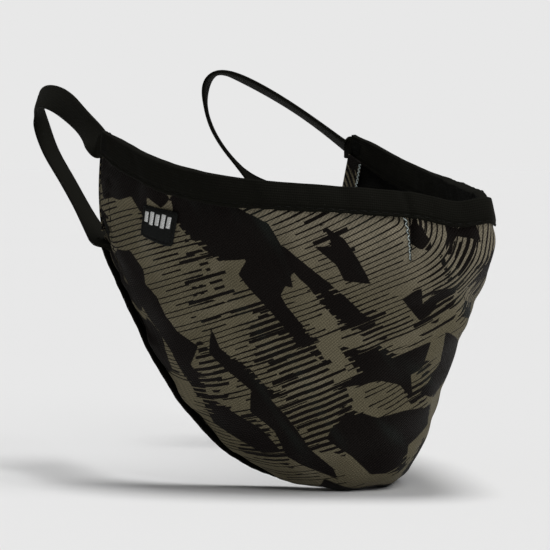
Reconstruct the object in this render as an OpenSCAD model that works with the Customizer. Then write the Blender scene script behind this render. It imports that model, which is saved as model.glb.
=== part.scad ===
// Reusable cloth face mask with a camouflage outer fabric, a dark lining, elastic edge
// tape along the top and bottom edges, and one soft ear loop on each side.
// Millimetres, +Z up.  The mask faces -Y, the wearer's right side is -X.
// The origin is the point midway between the two side edges, where a face leaves the cup.

/* [Cup] */
// Distance between the two ear corners
face_width = 116; // [100:1:140]
// Distance from the ear corners forward to the nose
cup_depth = 110; // [90:1:130]
// Height of the net the cup is drawn on
cup_height = 100; // [85:1:120]

/* [Fabric] */
// Thickness of the printed outer fabric
outer_thickness = 0.5; // [0.3:0.1:1]
// Thickness of the dark lining
lining_thickness = 0.4; // [0.3:0.1:1]
// Space kept between fabric and anything sewn over it
sew_gap = 0.2; // [0.1:0.05:0.4]
// Radius the bottom edge turns under with
curl_radius = 3; // [2.6:0.1:5]
// Plain fabric between the start of the turn and the bottom tape
curl_margin = 2.6; // [1:0.1:5]

/* [Edge tape] */
// Visible width of the folded elastic tape
tape_width = 8.4; // [6:0.1:11]
// Thickness of one ply of the tape
tape_ply = 0.8; // [0.5:0.1:1.2]

/* [Side hems] */
// Width of the fabric turned in at each side edge
hem_width = 6; // [4:0.5:9]
// Distance from the side edge to the hem stitch line
hem_stitch_inset = 4.4; // [3:0.1:6]

/* [Ear loops] */
// Distance each loop reaches back from the side edge
loop_reach = 50; // [40:1:70]
// Distance from the side edge to the line a loop swings about
loop_stand_off = 1.5; // [1.3:0.1:2.5]
// Thickness of the loop where it is sewn down
loop_end_thickness = 0.9; // [0.6:0.1:1.4]

/* [Side label] */
// Length of the sewn label along the cheek
label_length = 12.5; // [9:0.5:18]
// Height of the sewn label
label_height = 10.5; // [8:0.5:15]
// Thickness of the sewn label
label_thickness = 0.7; // [0.4:0.1:1.2]

/* [Thread] */
// Radius of the sewing thread
thread_radius = 0.14; // [0.1:0.01:0.25]
// Length of one stitch
stitch_length = 3; // [2:0.1:4]
// Distance from one stitch to the next
stitch_pitch = 4; // [3:0.1:6]

/* [Hidden] */
$fn = 16;
half_width = face_width / 2;
layers_thickness = outer_thickness + sew_gap / 2 + lining_thickness;
tape_outside = sew_gap + tape_ply;
tape_inside = layers_thickness + sew_gap + tape_ply;
strip_length = curl_margin + tape_width;
curl_angle = 84;
half_columns = 22;
panel_rows = 22;
strip_rows = 9;
loop_stations = 44;

// Net of the left half.  Each row runs from the middle of the face to the side edge;
// the rows go from the top edge over nose, mouth and chin down to the bottom edge.
// Numbers are shares of half_width, cup_depth and cup_height.
cup_net = [
    [[0, -0.94, -0.04], [0.20, -0.94, -0.04], [0.33, -0.69, -0.01],
     [0.87, -0.52, 0.03], [1.10, -0.39, -0.03], [1.02, -0.02, 0.17]],
    [[0, -1.01, -0.32], [0.22, -1.01, -0.32], [0.54, -0.80, -0.22],
     [0.89, -0.53, -0.13], [1.03, -0.29, -0.05], [1.03, -0.02, 0.08]],
    [[0, -0.78, -0.40], [0.20, -0.78, -0.40], [0.57, -0.66, -0.39],
     [0.92, -0.43, -0.29], [1.04, -0.22, -0.15], [1.01, 0, 0.02]],
    [[0, -0.72, -0.59], [0.22, -0.72, -0.59], [0.59, -0.61, -0.60],
     [0.93, -0.39, -0.44], [1.02, -0.18, -0.25], [1.00, 0.01, -0.04]],
    [[0, -0.71, -0.99], [0.26, -0.71, -0.99], [0.59, -0.51, -0.88],
     [0.87, -0.31, -0.65], [0.99, -0.14, -0.38], [0.98, 0.01, -0.10]],
    [[0, -0.54, -0.93], [0.30, -0.54, -0.93], [0.63, -0.28, -0.97],
     [0.76, -0.21, -0.75], [0.94, -0.08, -0.44], [0.98, 0.01, -0.16]]
];

function unit(a) = a / norm(a);
function blend_weights(t) = [
    pow(1 - t, 5),
    5 * t * pow(1 - t, 4),
    10 * pow(t, 2) * pow(1 - t, 3),
    10 * pow(t, 3) * pow(1 - t, 2),
    5 * pow(t, 4) * (1 - t),
    pow(t, 5)
];
function slope_weights(t) = [
    -5 * pow(1 - t, 4),
    5 * pow(1 - t, 3) * (1 - 5 * t),
    10 * t * pow(1 - t, 2) * (2 - 5 * t),
    10 * pow(t, 2) * (1 - t) * (3 - 5 * t),
    5 * pow(t, 3) * (4 - 5 * t),
    5 * pow(t, 4)
];
function net_point(wu, wv) = [
    for (axis = [0:2])
        wv * [for (row = [0:5]) wu * [for (col = [0:5]) cup_net[row][col][axis]]]
];
function sized(p, side) = [side * p[0] * half_width, p[1] * cup_depth, p[2] * cup_height];

// w runs from -1 at the right side edge to 1 at the left one, v from top to bottom edge.
function side_of(w) = w < 0 ? -1 : 1;
function cup_point(w, v) = sized(net_point(blend_weights(abs(w)), blend_weights(v)), side_of(w));
function cup_across(w, v) =
    side_of(w) * sized(net_point(slope_weights(abs(w)), blend_weights(v)), side_of(w));
function cup_down(w, v) = sized(net_point(blend_weights(abs(w)), slope_weights(v)), side_of(w));
function cup_normal(w, v) = unit(cross(cup_down(w, v), cup_across(w, v)));
function on_cup(w, v, off) = cup_point(w, v) + off * cup_normal(w, v);

// Straight distance square to an edge, turned into a share of the net.
function share_down(w, b) =
    let (down = cup_down(w, 0), along = unit(cup_across(w, 0)))
    b / norm(down - (down * along) * along);
function share_across(side, v, b) =
    let (across = cup_across(side, v), along = unit(cup_down(side, v)))
    b / norm(across - (across * along) * along);

// Points near the top edge: b is the distance down from the edge, negative above it.
function near_top(w, b, off) =
    b < 0
        ? on_cup(w, 0, off) + b * unit(cup_down(w, 0))
        : on_cup(w, share_down(w, b), off);

// Points on the turned-under strip: s is the distance from the start of the turn.
function strip_normal(w) = cup_normal(w, 1);
function strip_out(w) = unit(cross(unit(cup_across(w, 1)), strip_normal(w)));
function on_strip(w, s, off) =
    let (turn = min(s / curl_radius * 180 / PI, curl_angle),
         rest = max(0, s - curl_radius * curl_angle * PI / 180),
         out = strip_out(w),
         n = strip_normal(w))
    cup_point(w, 1)
        + ((curl_radius + off) * sin(turn) + rest * cos(turn)) * out
        + ((curl_radius + off) * cos(turn) - curl_radius - rest * sin(turn)) * n;
function near_bottom(w, b, off) = on_strip(w, strip_length - b, off);

// Points near a side edge: b is the distance in from the edge, negative beyond it.
function near_side(side, v, b, off) =
    b < 0
        ? on_cup(side, v, off) - b * side * unit(cup_across(side, v))
        : on_cup(side * (1 - share_across(side, v, b)), v, off);

function even_step(t) = t * (0.5 + 0.5 * abs(t));
columns = [for (k = [-half_columns:half_columns]) even_step(k / half_columns)];

// A closed solid between two grids of points that have the same rows and columns.
module slab(outer, inner, flip = false) {
    rows = len(outer);
    cols = len(outer[0]);
    count = rows * cols;
    points = [each [for (row = outer) each row], each [for (row = inner) each row]];
    quads = [
        for (r = [0:rows - 2], c = [0:cols - 2])
            let (a = r * cols + c)
            each [[a, a + 1, a + cols + 1, a + cols],
                  [count + a, count + a + cols, count + a + cols + 1, count + a + 1]],
        for (c = [0:cols - 2])
            each [[c + 1, c, count + c, count + c + 1],
                  [count - cols + c, count - cols + c + 1,
                   2 * count - cols + c + 1, 2 * count - cols + c]],
        for (r = [0:rows - 2])
            each [[r * cols, (r + 1) * cols, count + (r + 1) * cols, count + r * cols],
                  [(r + 2) * cols - 1, (r + 1) * cols - 1,
                   count + (r + 1) * cols - 1, count + (r + 2) * cols - 1]]
    ];
    triangles = [for (q = quads) each [[q[0], q[1], q[2]], [q[0], q[2], q[3]]]];
    polyhedron(points, flip ? [for (t = triangles) [t[2], t[1], t[0]]] : triangles);
}

// One stitch: a straight piece of thread between two points.
module stitch(p, q) {
    run = q - p;
    turn = atan2(run[1], run[0]);
    tilt = acos(run[2] / norm(run));
    translate(p)
        rotate([0, tilt, turn])
            cylinder(h = norm(run), r = thread_radius);
}

// Cup shell: a layer of fabric between two distances from the outer face.
function cup_layer(off) = [
    for (w = columns) [
        for (r = [0:panel_rows]) on_cup(w, r / panel_rows, off),
        for (r = [1:strip_rows]) on_strip(w, strip_length * r / strip_rows, off)
    ]
];

module outer_panel() {
    color([0.42, 0.38, 0.28])
        slab(cup_layer(0), cup_layer(-outer_thickness));
}

module lining_panel() {
    top_off = -outer_thickness - sew_gap / 2;
    color([0.07, 0.07, 0.06])
        slab(cup_layer(top_off), cup_layer(top_off - lining_thickness));
}

// Fabric turned in over a side edge, from the outer face round to the lining.
hem_fold = outer_thickness;
hem_top = 0.30;
hem_bottom = 0.97;
hem_rows = 10;

module side_hem(side) {
    far = -layers_thickness - sew_gap - hem_fold;
    close = -layers_thickness - sew_gap;
    lip = sew_gap / 2;
    rows = [for (r = [0:hem_rows]) hem_top + (hem_bottom - hem_top) * r / hem_rows];
    outer = [
        for (v = rows) [
            near_side(side, v, -lip - hem_fold, 0),
            near_side(side, v, -lip - hem_fold, far + hem_fold / 2),
            near_side(side, v, -lip - hem_fold / 2, far),
            for (b = [0:hem_width / 3:hem_width]) near_side(side, v, b, far)
        ]
    ];
    inner = [
        for (v = rows) [
            near_side(side, v, -lip, 0),
            near_side(side, v, -lip, close + lip),
            near_side(side, v, -lip / 2, close),
            for (b = [0:hem_width / 3:hem_width]) near_side(side, v, b, close)
        ]
    ];
    slab(outer, inner, side > 0);
}

module side_hem_right() {
    color([0.42, 0.38, 0.28])
        side_hem(-1);
}

module side_hem_left() {
    color([0.42, 0.38, 0.28])
        side_hem(1);
}

// Folded tape: each entry is [distance in from the edge, distance out from the outer face].
flap_shares = [1, 0.85, 0.7, 0.35, 0];
tape_outer_fold = [
    for (f = flap_shares) [tape_width * f, tape_outside],
    [-sew_gap - 0.7 * tape_ply, 0.4 * tape_ply],
    [-sew_gap - 0.7 * tape_ply, -layers_thickness - 0.4 * tape_ply],
    for (k = [len(flap_shares) - 1:-1:0]) [tape_width * flap_shares[k], -tape_inside]
];
tape_inner_fold = [
    for (f = flap_shares) [tape_width * f, sew_gap],
    [-sew_gap, 0],
    [-sew_gap, -layers_thickness],
    for (k = [len(flap_shares) - 1:-1:0])
        [tape_width * flap_shares[k], -layers_thickness - sew_gap]
];

module top_binding() {
    color([0.06, 0.06, 0.05])
        slab(
            [for (w = columns) [for (f = tape_outer_fold) near_top(w, f[0], f[1])]],
            [for (w = columns) [for (f = tape_inner_fold) near_top(w, f[0], f[1])]],
            true
        );
}

module bottom_binding() {
    color([0.06, 0.06, 0.05])
        slab(
            [for (w = columns) [for (f = tape_outer_fold) near_bottom(w, f[0], f[1])]],
            [for (w = columns) [for (f = tape_inner_fold) near_bottom(w, f[0], f[1])]]
        );
}

// Ear loops.  Both ends stand on the swing line just behind the side edge.
// Path points are millimetres out, back and up from the middle of that line for a reach
// of 50; each loop relaxes in its own way, so each has its own path and twist.
upper_anchor_share = 0.12;
lower_anchor_share = 0.86;
path_reach = 50;
start_lap = 0.3;
loop_middle_right = [
    [-4.5, 11.5, 19], [-8.5, 26.5, 27], [-14.5, 43, 28.5], [-22.5, 53, 24.5], [-23.5, 49.5, 11],
    [-20, 38, 1], [-13.5, 22, -10]
];
loop_middle_left = [
    [-6, 17.5, 25], [-15, 35.5, 37], [-18.5, 45, 39.5], [-18.5, 49.5, 32], [-17, 47.5, 18.5],
    [-13.5, 36, 4], [-8.5, 20.5, -7]
];
loop_face_right = [
    [0, 0, 1], [0.1, -0.4, 0.9], [0.1, -0.6, 0.8], [0.1, -0.4, 0.8], [-0.45, 0.1, 0.9],
    [-1, 0.3, 0.25], [-1, 0.1, -0.2], [-0.7, -0.2, -0.65], [-0.3, 0, -0.9]
];
loop_face_left = [
    [-0.1, 0, 1], [-0.8, -0.5, 0.35], [-0.87, -0.5, 0.1], [-0.85, -0.5, 0],
    [-0.75, -0.6, -0.05], [-0.72, -0.68, 0], [-0.7, -0.6, -0.3], [-0.5, -0.3, -0.8], [0, 0, -1]
];

function anchor(v) = cup_point(1, v) + [0, loop_stand_off, 0];
upper_anchor = anchor(upper_anchor_share);
lower_anchor = anchor(lower_anchor_share);
anchor_middle = (upper_anchor + lower_anchor) / 2;
swing_line = unit(upper_anchor - lower_anchor);

function clamp(k, n) = min(max(k, 0), n - 1);
function curve_weights(f) = [
    pow(1 - f, 3) / 6,
    (3 * pow(f, 3) - 6 * pow(f, 2) + 4) / 6,
    (-3 * pow(f, 3) + 3 * pow(f, 2) + 3 * f + 1) / 6,
    pow(f, 3) / 6
];
function on_curve(list, t) =
    let (n = len(list),
         k = min(floor(t * (n + 1)), n),
         weights = curve_weights(t * (n + 1) - k))
    [for (axis = [0:2]) weights * [for (i = [0:3]) list[clamp(k - 2 + i, n)][axis]]];

function loop_path(middle) = [
    upper_anchor,
    for (p = middle) anchor_middle + p * loop_reach / path_reach,
    lower_anchor
];
function loop_width_dir(path, faces, t) =
    let (step = 0.01,
         run = unit(on_curve(path, min(t + step, 1)) - on_curve(path, max(t - step, 0))),
         face = on_curve(faces, t),
         square = unit(face - (face * run) * run),
         sewn = max(0, 1 - 14 * min(t, 1 - t)),
         held = t < 0.5 ? swing_line : -swing_line)
    unit(sewn * held + (1 - sewn) * square);
function loop_run_dir(path, wide, t) =
    let (step = 0.01,
         run = on_curve(path, min(t + step, 1)) - on_curve(path, max(t - step, 0)),
         flat = run - (run * wide) * wide)
    unit(flat);
function loop_ring(path, faces, t) =
    let (wide = loop_width_dir(path, faces, t),
         thick = cross(loop_run_dir(path, wide, t), wide),
         sewn = max(0, 1 - 10 * min(t, 1 - t)),
         a = tape_width / 2 * (1 - 0.1 * sewn),
         b = sewn * loop_end_thickness / 2 + (1 - sewn) * tape_ply,
         lap = t == 0 || t == 1 ? [0, -start_lap, 0] : [0, 0, 0],
         c = on_curve(path, t) + lap)
    [c + a * wide - 0.5 * b * thick, c + a * wide + 0.5 * b * thick,
     c + (a - b) * wide + b * thick, c + (b - a) * wide + b * thick,
     c - a * wide + 0.5 * b * thick, c - a * wide - 0.5 * b * thick,
     c + (b - a) * wide - b * thick, c + (a - b) * wide - b * thick];

// A tube skinned over rings of eight points, closed by a flat-sided cap at each end.
module tube(rings, flip) {
    n = len(rings);
    m = len(rings[0]);
    points = [for (ring = rings) each ring];
    sides = [
        for (r = [0:n - 2], c = [0:m - 1])
            let (a = r * m + c, b = r * m + (c + 1) % m)
            each [[a, b, b + m], [a, b + m, a + m]]
    ];
    cap = [[0, 7, 1], [1, 7, 2], [2, 7, 6], [2, 6, 3], [3, 6, 5], [3, 5, 4]];
    last = (n - 1) * m;
    caps = [
        for (t = cap) t,
        for (t = cap) [last + t[2], last + t[1], last + t[0]]
    ];
    faces = [each sides, each caps];
    polyhedron(points, flip ? [for (t = faces) [t[2], t[1], t[0]]] : faces);
}

module ear_loop(side, middle, faces) {
    path = loop_path(middle);
    rings = [
        for (k = [0:loop_stations]) [
            for (p = loop_ring(path, faces, k / loop_stations)) [side * p[0], p[1], p[2]]
        ]
    ];
    tube(rings, side < 0);
}

module ear_loop_right() {
    color([0.07, 0.07, 0.06])
        ear_loop(-1, loop_middle_right, loop_face_right);
}

module ear_loop_left() {
    color([0.07, 0.07, 0.06])
        ear_loop(1, loop_middle_left, loop_face_left);
}

// Side label: a thin tag that follows the right cheek.
label_w = -0.815;
label_v = 0.385;
label_lean = 14;
label_lift = 0.15;
label_steps = 6;
label_out = cup_normal(label_w, label_v);
label_level = unit(cross(label_out, [0, 0, 1]));
label_back = cos(label_lean) * label_level - sin(label_lean) * cross(label_out, label_level);
label_up = cross(label_back, label_out);
label_across_slope = cup_across(label_w, label_v);
label_down_slope = cup_down(label_w, label_v);

// A point of the label: a and b are shares of its length and height from its middle.
function label_point(a, b, off) =
    let (x = a * label_length,
         y = b * label_height,
         p = label_across_slope * label_back,
         q = label_down_slope * label_back,
         r = label_across_slope * label_up,
         t = label_down_slope * label_up,
         d = p * t - q * r)
    on_cup(label_w + (x * t - y * q) / d, label_v + (y * p - x * r) / d, off);
function label_grid(size, off) = [
    for (i = [0:label_steps]) [
        for (j = [0:label_steps])
            label_point(size * (i / label_steps - 0.5), size * (j / label_steps - 0.5), off)
    ]
];

module side_label() {
    color([0.05, 0.06, 0.05])
        slab(label_grid(1, label_lift + label_thickness), label_grid(1, label_lift));
}

// Plain raised upright bars: [middle, bottom, width, height] as shares of the label.
mark_bars = [
    [-0.30, -0.02, 0.09, 0.34], [-0.14, -0.06, 0.09, 0.42], [0.02, -0.02, 0.09, 0.34],
    [0.18, -0.06, 0.09, 0.42], [0.34, -0.02, 0.09, 0.34]
];
mark_height = 0.25;
mark_gap = 0.05;
mark_steps = 3;

module label_mark() {
    base = label_lift + label_thickness + mark_gap;
    color([0.85, 0.85, 0.82])
        for (bar = mark_bars) {
            grid = [
                for (off = [base + mark_height, base]) [
                    for (i = [0:mark_steps]) [
                        for (j = [0:1])
                            label_point(bar[0] + bar[2] * (j - 0.5), bar[1] + bar[3] * i / mark_steps, off)
                    ]
                ]
            ];
            slab(grid[0], grid[1], true);
        }
}

label_stitch_inset = 0.43;
label_side_stitches = 4;

module label_stitches() {
    off = label_lift + label_thickness + 0.1 + thread_radius;
    reach = 2 * label_stitch_inset;
    color([0.12, 0.12, 0.11])
        for (k = [0:label_side_stitches - 1]) {
            a = label_stitch_inset - reach * (k + 0.18) / label_side_stitches;
            b = label_stitch_inset - reach * (k + 0.82) / label_side_stitches;
            for (edge = [-label_stitch_inset, label_stitch_inset]) {
                stitch(label_point(a, edge, off), label_point(b, edge, off));
                stitch(label_point(edge, a, off), label_point(edge, b, off));
            }
        }
}

// Distances along an edge, so that stitches are spaced evenly.
function run_table(line) = [
    for (k = 0, total = 0; k < len(line);
         total = total + (k + 1 < len(line) ? norm(line[k + 1] - line[k]) : 0), k = k + 1)
        [total, columns[k]]
];
stitch_inset = 1.2;
thread_lift = 0.2 + thread_radius;
end_margin = 6;

module top_binding_stitches() {
    b = tape_width - stitch_inset;
    off = tape_outside + thread_lift;
    table = run_table([for (w = columns) near_top(w, b, off)]);
    total = table[len(table) - 1][0];
    color([0.12, 0.12, 0.11])
        for (s = [end_margin:stitch_pitch:total - end_margin - stitch_length])
            stitch(near_top(lookup(s, table), b, off),
                   near_top(lookup(s + stitch_length, table), b, off));
}

module bottom_binding_stitches() {
    b = tape_width - stitch_inset;
    off = tape_outside + thread_lift;
    table = run_table([for (w = columns) near_bottom(w, b, off)]);
    total = table[len(table) - 1][0];
    color([0.12, 0.12, 0.11])
        for (s = [end_margin:stitch_pitch:total - end_margin - stitch_length])
            stitch(near_bottom(lookup(s, table), b, off),
                   near_bottom(lookup(s + stitch_length, table), b, off));
}

hem_stitches = 6;
hem_stitch_top = 0.34;
hem_stitch_bottom = 0.92;

module side_hem_stitches(side) {
    step = (hem_stitch_bottom - hem_stitch_top) / hem_stitches;
    for (k = [0:hem_stitches - 1]) {
        v = hem_stitch_top + k * step;
        stitch(near_side(side, v, hem_stitch_inset, thread_lift),
               near_side(side, v + 0.75 * step, hem_stitch_inset, thread_lift));
    }
}

module side_hem_stitches_right() {
    color([0.12, 0.12, 0.11])
        side_hem_stitches(-1);
}

module side_hem_stitches_left() {
    color([0.12, 0.12, 0.11])
        side_hem_stitches(1);
}

// Nose darts: a short seam on each side that takes in the cloth beside the nose.
dart_top = [0.29, 0.105];
dart_bottom = [0.26, 0.185];
dart_stitches = 5;

module nose_dart_stitches(side) {
    for (k = [0:dart_stitches - 1]) {
        p = dart_top + (dart_bottom - dart_top) * k / dart_stitches;
        q = dart_top + (dart_bottom - dart_top) * (k + 0.7) / dart_stitches;
        stitch(on_cup(side * p[0], p[1], thread_lift), on_cup(side * q[0], q[1], thread_lift));
    }
}

module nose_dart_stitches_right() {
    color([0.62, 0.62, 0.58])
        nose_dart_stitches(-1);
}

module nose_dart_stitches_left() {
    color([0.62, 0.62, 0.58])
        nose_dart_stitches(1);
}

// Bar tacks: close rows of thread that lock each end of an ear loop.
tack_rows = 5;
tack_spacing = 0.7;
tack_from_edge = 1;
tack_top = 1.2;
tack_bottom = 7;

module upper_bartack(side) {
    for (k = [0:tack_rows - 1]) {
        b = tack_from_edge + k * tack_spacing;
        w = side * (1 - share_across(side, 0, b));
        for (off = [tape_outside + thread_lift, -tape_inside - thread_lift])
            stitch(near_top(w, tack_top, off), near_top(w, tack_bottom, off));
    }
}

module upper_bartack_right() {
    color([0.62, 0.62, 0.58])
        upper_bartack(-1);
}

module upper_bartack_left() {
    color([0.62, 0.62, 0.58])
        upper_bartack(1);
}

lower_tack_top = 0.72;
lower_tack_bottom = 0.93;

module lower_bartack(side) {
    for (k = [0:tack_rows - 1]) {
        b = tack_from_edge + k * tack_spacing;
        stitch(near_side(side, lower_tack_top, b, thread_lift),
               near_side(side, lower_tack_bottom, b, thread_lift));
    }
}

module lower_bartack_right() {
    color([0.12, 0.12, 0.11])
        lower_bartack(-1);
}

module lower_bartack_left() {
    color([0.12, 0.12, 0.11])
        lower_bartack(1);
}

join_half_width = 0.05;

module binding_join_bartack() {
    off = tape_outside + thread_lift;
    color([0.12, 0.12, 0.11])
        for (k = [0:tack_rows - 1]) {
            w = join_half_width * (k / (tack_rows - 1) - 0.5);
            stitch(near_bottom(w, tack_from_edge, off), near_bottom(w, 6, off));
        }
}

outer_panel();
lining_panel();
side_hem_right();
side_hem_left();
top_binding();
bottom_binding();
ear_loop_right();
ear_loop_left();
side_label();
label_mark();
label_stitches();
top_binding_stitches();
bottom_binding_stitches();
side_hem_stitches_right();
side_hem_stitches_left();
nose_dart_stitches_right();
nose_dart_stitches_left();
upper_bartack_right();
upper_bartack_left();
lower_bartack_right();
lower_bartack_left();
binding_join_bartack();
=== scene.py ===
from math import cos, pi, radians, sin

import bmesh
import bpy
import numpy as np
from mathutils import Matrix, Vector


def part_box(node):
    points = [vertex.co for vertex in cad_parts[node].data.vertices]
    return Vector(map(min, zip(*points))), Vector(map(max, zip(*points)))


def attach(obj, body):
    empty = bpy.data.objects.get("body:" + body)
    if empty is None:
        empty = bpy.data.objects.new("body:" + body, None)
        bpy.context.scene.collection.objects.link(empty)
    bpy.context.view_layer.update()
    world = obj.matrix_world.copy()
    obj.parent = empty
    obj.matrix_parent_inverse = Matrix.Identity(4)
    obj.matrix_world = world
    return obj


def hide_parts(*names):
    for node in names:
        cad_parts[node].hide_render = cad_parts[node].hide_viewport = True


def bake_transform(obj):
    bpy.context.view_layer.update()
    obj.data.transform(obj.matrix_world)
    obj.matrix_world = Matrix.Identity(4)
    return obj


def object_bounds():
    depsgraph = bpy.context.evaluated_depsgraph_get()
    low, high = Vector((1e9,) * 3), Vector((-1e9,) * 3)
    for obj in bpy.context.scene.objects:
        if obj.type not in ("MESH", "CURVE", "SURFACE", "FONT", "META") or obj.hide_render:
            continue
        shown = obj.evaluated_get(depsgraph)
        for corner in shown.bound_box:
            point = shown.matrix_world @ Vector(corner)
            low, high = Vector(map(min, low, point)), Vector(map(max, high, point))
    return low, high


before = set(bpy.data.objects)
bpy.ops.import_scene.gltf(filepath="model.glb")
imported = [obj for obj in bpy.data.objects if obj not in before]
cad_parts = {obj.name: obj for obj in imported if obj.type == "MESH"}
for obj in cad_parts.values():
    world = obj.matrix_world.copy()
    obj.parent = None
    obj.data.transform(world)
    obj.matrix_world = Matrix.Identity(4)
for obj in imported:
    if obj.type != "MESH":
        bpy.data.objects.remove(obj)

cad_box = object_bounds()

# ---------------------------------------------------------------------------
# Printed cloth cup.  The outer ply is one piece of fine polyester twill from ear to ear,
# printed in khaki and near-black, with two short darts beside the nose and its bottom
# edge turned under.  It is cut about 25 cm wide and 12 cm high.
# ---------------------------------------------------------------------------

# Net of one half, as shares of the half width, depth and height of the cup: rows run from
# the top edge to the bottom edge, columns from the middle of the face to the ear.
CUP_NET = np.array([
    [[0, -0.94, -0.04], [0.20, -0.94, -0.04], [0.33, -0.69, -0.01],
     [0.87, -0.52, 0.03], [1.10, -0.39, -0.03], [1.02, -0.02, 0.17]],
    [[0, -1.01, -0.32], [0.22, -1.01, -0.32], [0.54, -0.80, -0.22],
     [0.89, -0.53, -0.13], [1.03, -0.29, -0.05], [1.03, -0.02, 0.08]],
    [[0, -0.78, -0.40], [0.20, -0.78, -0.40], [0.57, -0.66, -0.39],
     [0.92, -0.43, -0.29], [1.04, -0.22, -0.15], [1.01, 0, 0.02]],
    [[0, -0.72, -0.59], [0.22, -0.72, -0.59], [0.59, -0.61, -0.60],
     [0.93, -0.39, -0.44], [1.02, -0.18, -0.25], [1.00, 0.01, -0.04]],
    [[0, -0.71, -0.99], [0.26, -0.71, -0.99], [0.59, -0.51, -0.88],
     [0.87, -0.31, -0.65], [0.99, -0.14, -0.38], [0.98, 0.01, -0.10]],
    [[0, -0.54, -0.93], [0.30, -0.54, -0.93], [0.63, -0.28, -0.97],
     [0.76, -0.21, -0.75], [0.94, -0.08, -0.44], [0.98, 0.01, -0.16]],
])
MM = 0.001
# The top edge dips a little on each side of the nose and settles lower over the cheeks,
# and the left ear edge has relaxed forward.
RIM_DIP = 0.018
RIM_DIP_AT = 0.15
RIM_DIP_REACH = 0.085
RIM_FADE = 0.16
RIM_SETTLE = 0.3 * MM
SETTLE_FROM, SETTLE_FULL = 0.2, 0.4
LEFT_EDGE_FORWARD = 1.4 * MM
LEFT_EDGE_FROM = 0.8
# The bottom edge turns under in a round curl and runs on as a flat strip.
STRIP_LENGTH = 11 * MM
CURL_RADIUS = 3 * MM
CURL_ANGLE = radians(84)
CLOTH_THICKNESS = 0.5 * MM


def unit(a):
    return a / np.linalg.norm(a, axis=-1, keepdims=True)


def smooth(low, high, x):
    t = np.clip((x - low) / (high - low), 0, 1)
    return t * t * (3 - 2 * t)


def net_weights(t):
    t = np.asarray(t, float)[..., None]
    k = np.arange(6)
    return np.array([1, 5, 10, 10, 5, 1]) * t ** k * (1 - t) ** (5 - k)


def net_slopes(t):
    t = np.asarray(t, float)[..., None]
    k = np.arange(5)
    four = np.array([1, 4, 6, 4, 1]) * t ** k * (1 - t) ** (4 - k)
    none = np.zeros(four.shape[:-1] + (1,))
    return 5 * (np.concatenate([none, four], -1) - np.concatenate([four, none], -1))


def on_net(across, down, w):
    p = np.einsum("...r,...c,rck->...k", down, across, CUP_NET) * cup_size
    p[..., 0] *= np.where(w < 0, -1.0, 1.0)
    return p


def grid_of(*values):
    """The values as arrays of one shape."""
    return [a.copy() for a in np.broadcast_arrays(*(np.asarray(x, float) for x in values))]


def cup_point(w, v):
    w, v = grid_of(w, v)
    p = on_net(net_weights(abs(w)), net_weights(v), w)
    near_rim = np.exp(-(v / RIM_FADE) ** 2)
    dip = np.exp(-((abs(w) - RIM_DIP_AT) / RIM_DIP_REACH) ** 2) * near_rim
    p[..., 2] -= RIM_DIP * dip * cup_size[2]
    p[..., 2] -= RIM_SETTLE * smooth(SETTLE_FROM, SETTLE_FULL, abs(w)) * near_rim
    p[..., 1] -= LEFT_EDGE_FORWARD * smooth(LEFT_EDGE_FROM, 1.0, w)
    return p


def cup_across(w, v):
    w, v = grid_of(w, v)
    side = np.where(w < 0, -1.0, 1.0)[..., None]
    return side * on_net(net_slopes(abs(w)), net_weights(v), w)


def cup_down(w, v):
    w, v = grid_of(w, v)
    return on_net(net_weights(abs(w)), net_slopes(v), w)


def cup_normal(w, v):
    return unit(np.cross(cup_down(w, v), cup_across(w, v)))


# The net is drawn to the size of the panel itself.
cup_size = np.ones(3)
net_half = cup_point(np.linspace(0, 1, 81)[:, None], np.linspace(0, 1, 61)[None, :])
panel_low, panel_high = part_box("outer_panel")
cup_size = np.array([
    panel_high[0] / net_half[..., 0].max(),
    panel_low[1] / net_half[..., 1].min(),
    panel_high[2] / net_half[..., 2].max(),
])

# The flat cloth: how far across and down the cut piece each place of the cup was.  The
# row LEVEL_ROW lies straight across it, and no step across shrinks below STEEPEST.
LEVEL_ROW = 0.35
STEEPEST = 0.3
flat_w = np.linspace(-1, 1, 321)
flat_v = np.linspace(0, 1, 121)
flat_points = cup_point(flat_w[:, None], flat_v[None, :])
down_steps = np.linalg.norm(np.diff(flat_points, axis=1), axis=2)
flat_depth = np.concatenate([np.zeros((len(flat_w), 1)), np.cumsum(down_steps, 1)], 1)
level = int(round(LEVEL_ROW * (len(flat_v) - 1)))
flat_down = flat_depth - flat_depth[:, level:level + 1]
across_steps = np.linalg.norm(np.diff(flat_points, axis=0), axis=2)
slant = np.diff(flat_down, axis=0)
across_steps = np.sqrt(np.maximum(across_steps ** 2 - slant ** 2,
                                  (STEEPEST * across_steps) ** 2))
flat_across = np.concatenate([np.zeros((1, len(flat_v))), np.cumsum(across_steps, 0)], 0)
flat_across -= flat_across[len(flat_w) // 2]


def read_flat(table, w, v):
    i = np.clip((w + 1) / 2, 0, 1) * (len(flat_w) - 1)
    j = np.clip(v, 0, 1) * (len(flat_v) - 1)
    i0 = np.minimum(i.astype(int), len(flat_w) - 2)
    j0 = np.minimum(j.astype(int), len(flat_v) - 2)
    f, g = i - i0, j - j0
    return ((table[i0, j0] * (1 - f) + table[i0 + 1, j0] * f) * (1 - g)
            + (table[i0, j0 + 1] * (1 - f) + table[i0 + 1, j0 + 1] * f) * g)


def share_down(w, b):
    """The net row that is b below the top edge."""
    down = cup_down(w, 0)
    along = unit(cup_across(w, 0))
    square = down - (down * along).sum(-1, keepdims=True) * along
    return b / np.linalg.norm(square, axis=-1)


def share_in(side, v, b):
    """How much of the net lies within b of a side edge."""
    across = cup_across(side, v)
    along = unit(cup_down(side, v))
    square = across - (across * along).sum(-1, keepdims=True) * along
    return b / np.linalg.norm(square, axis=-1)


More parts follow.
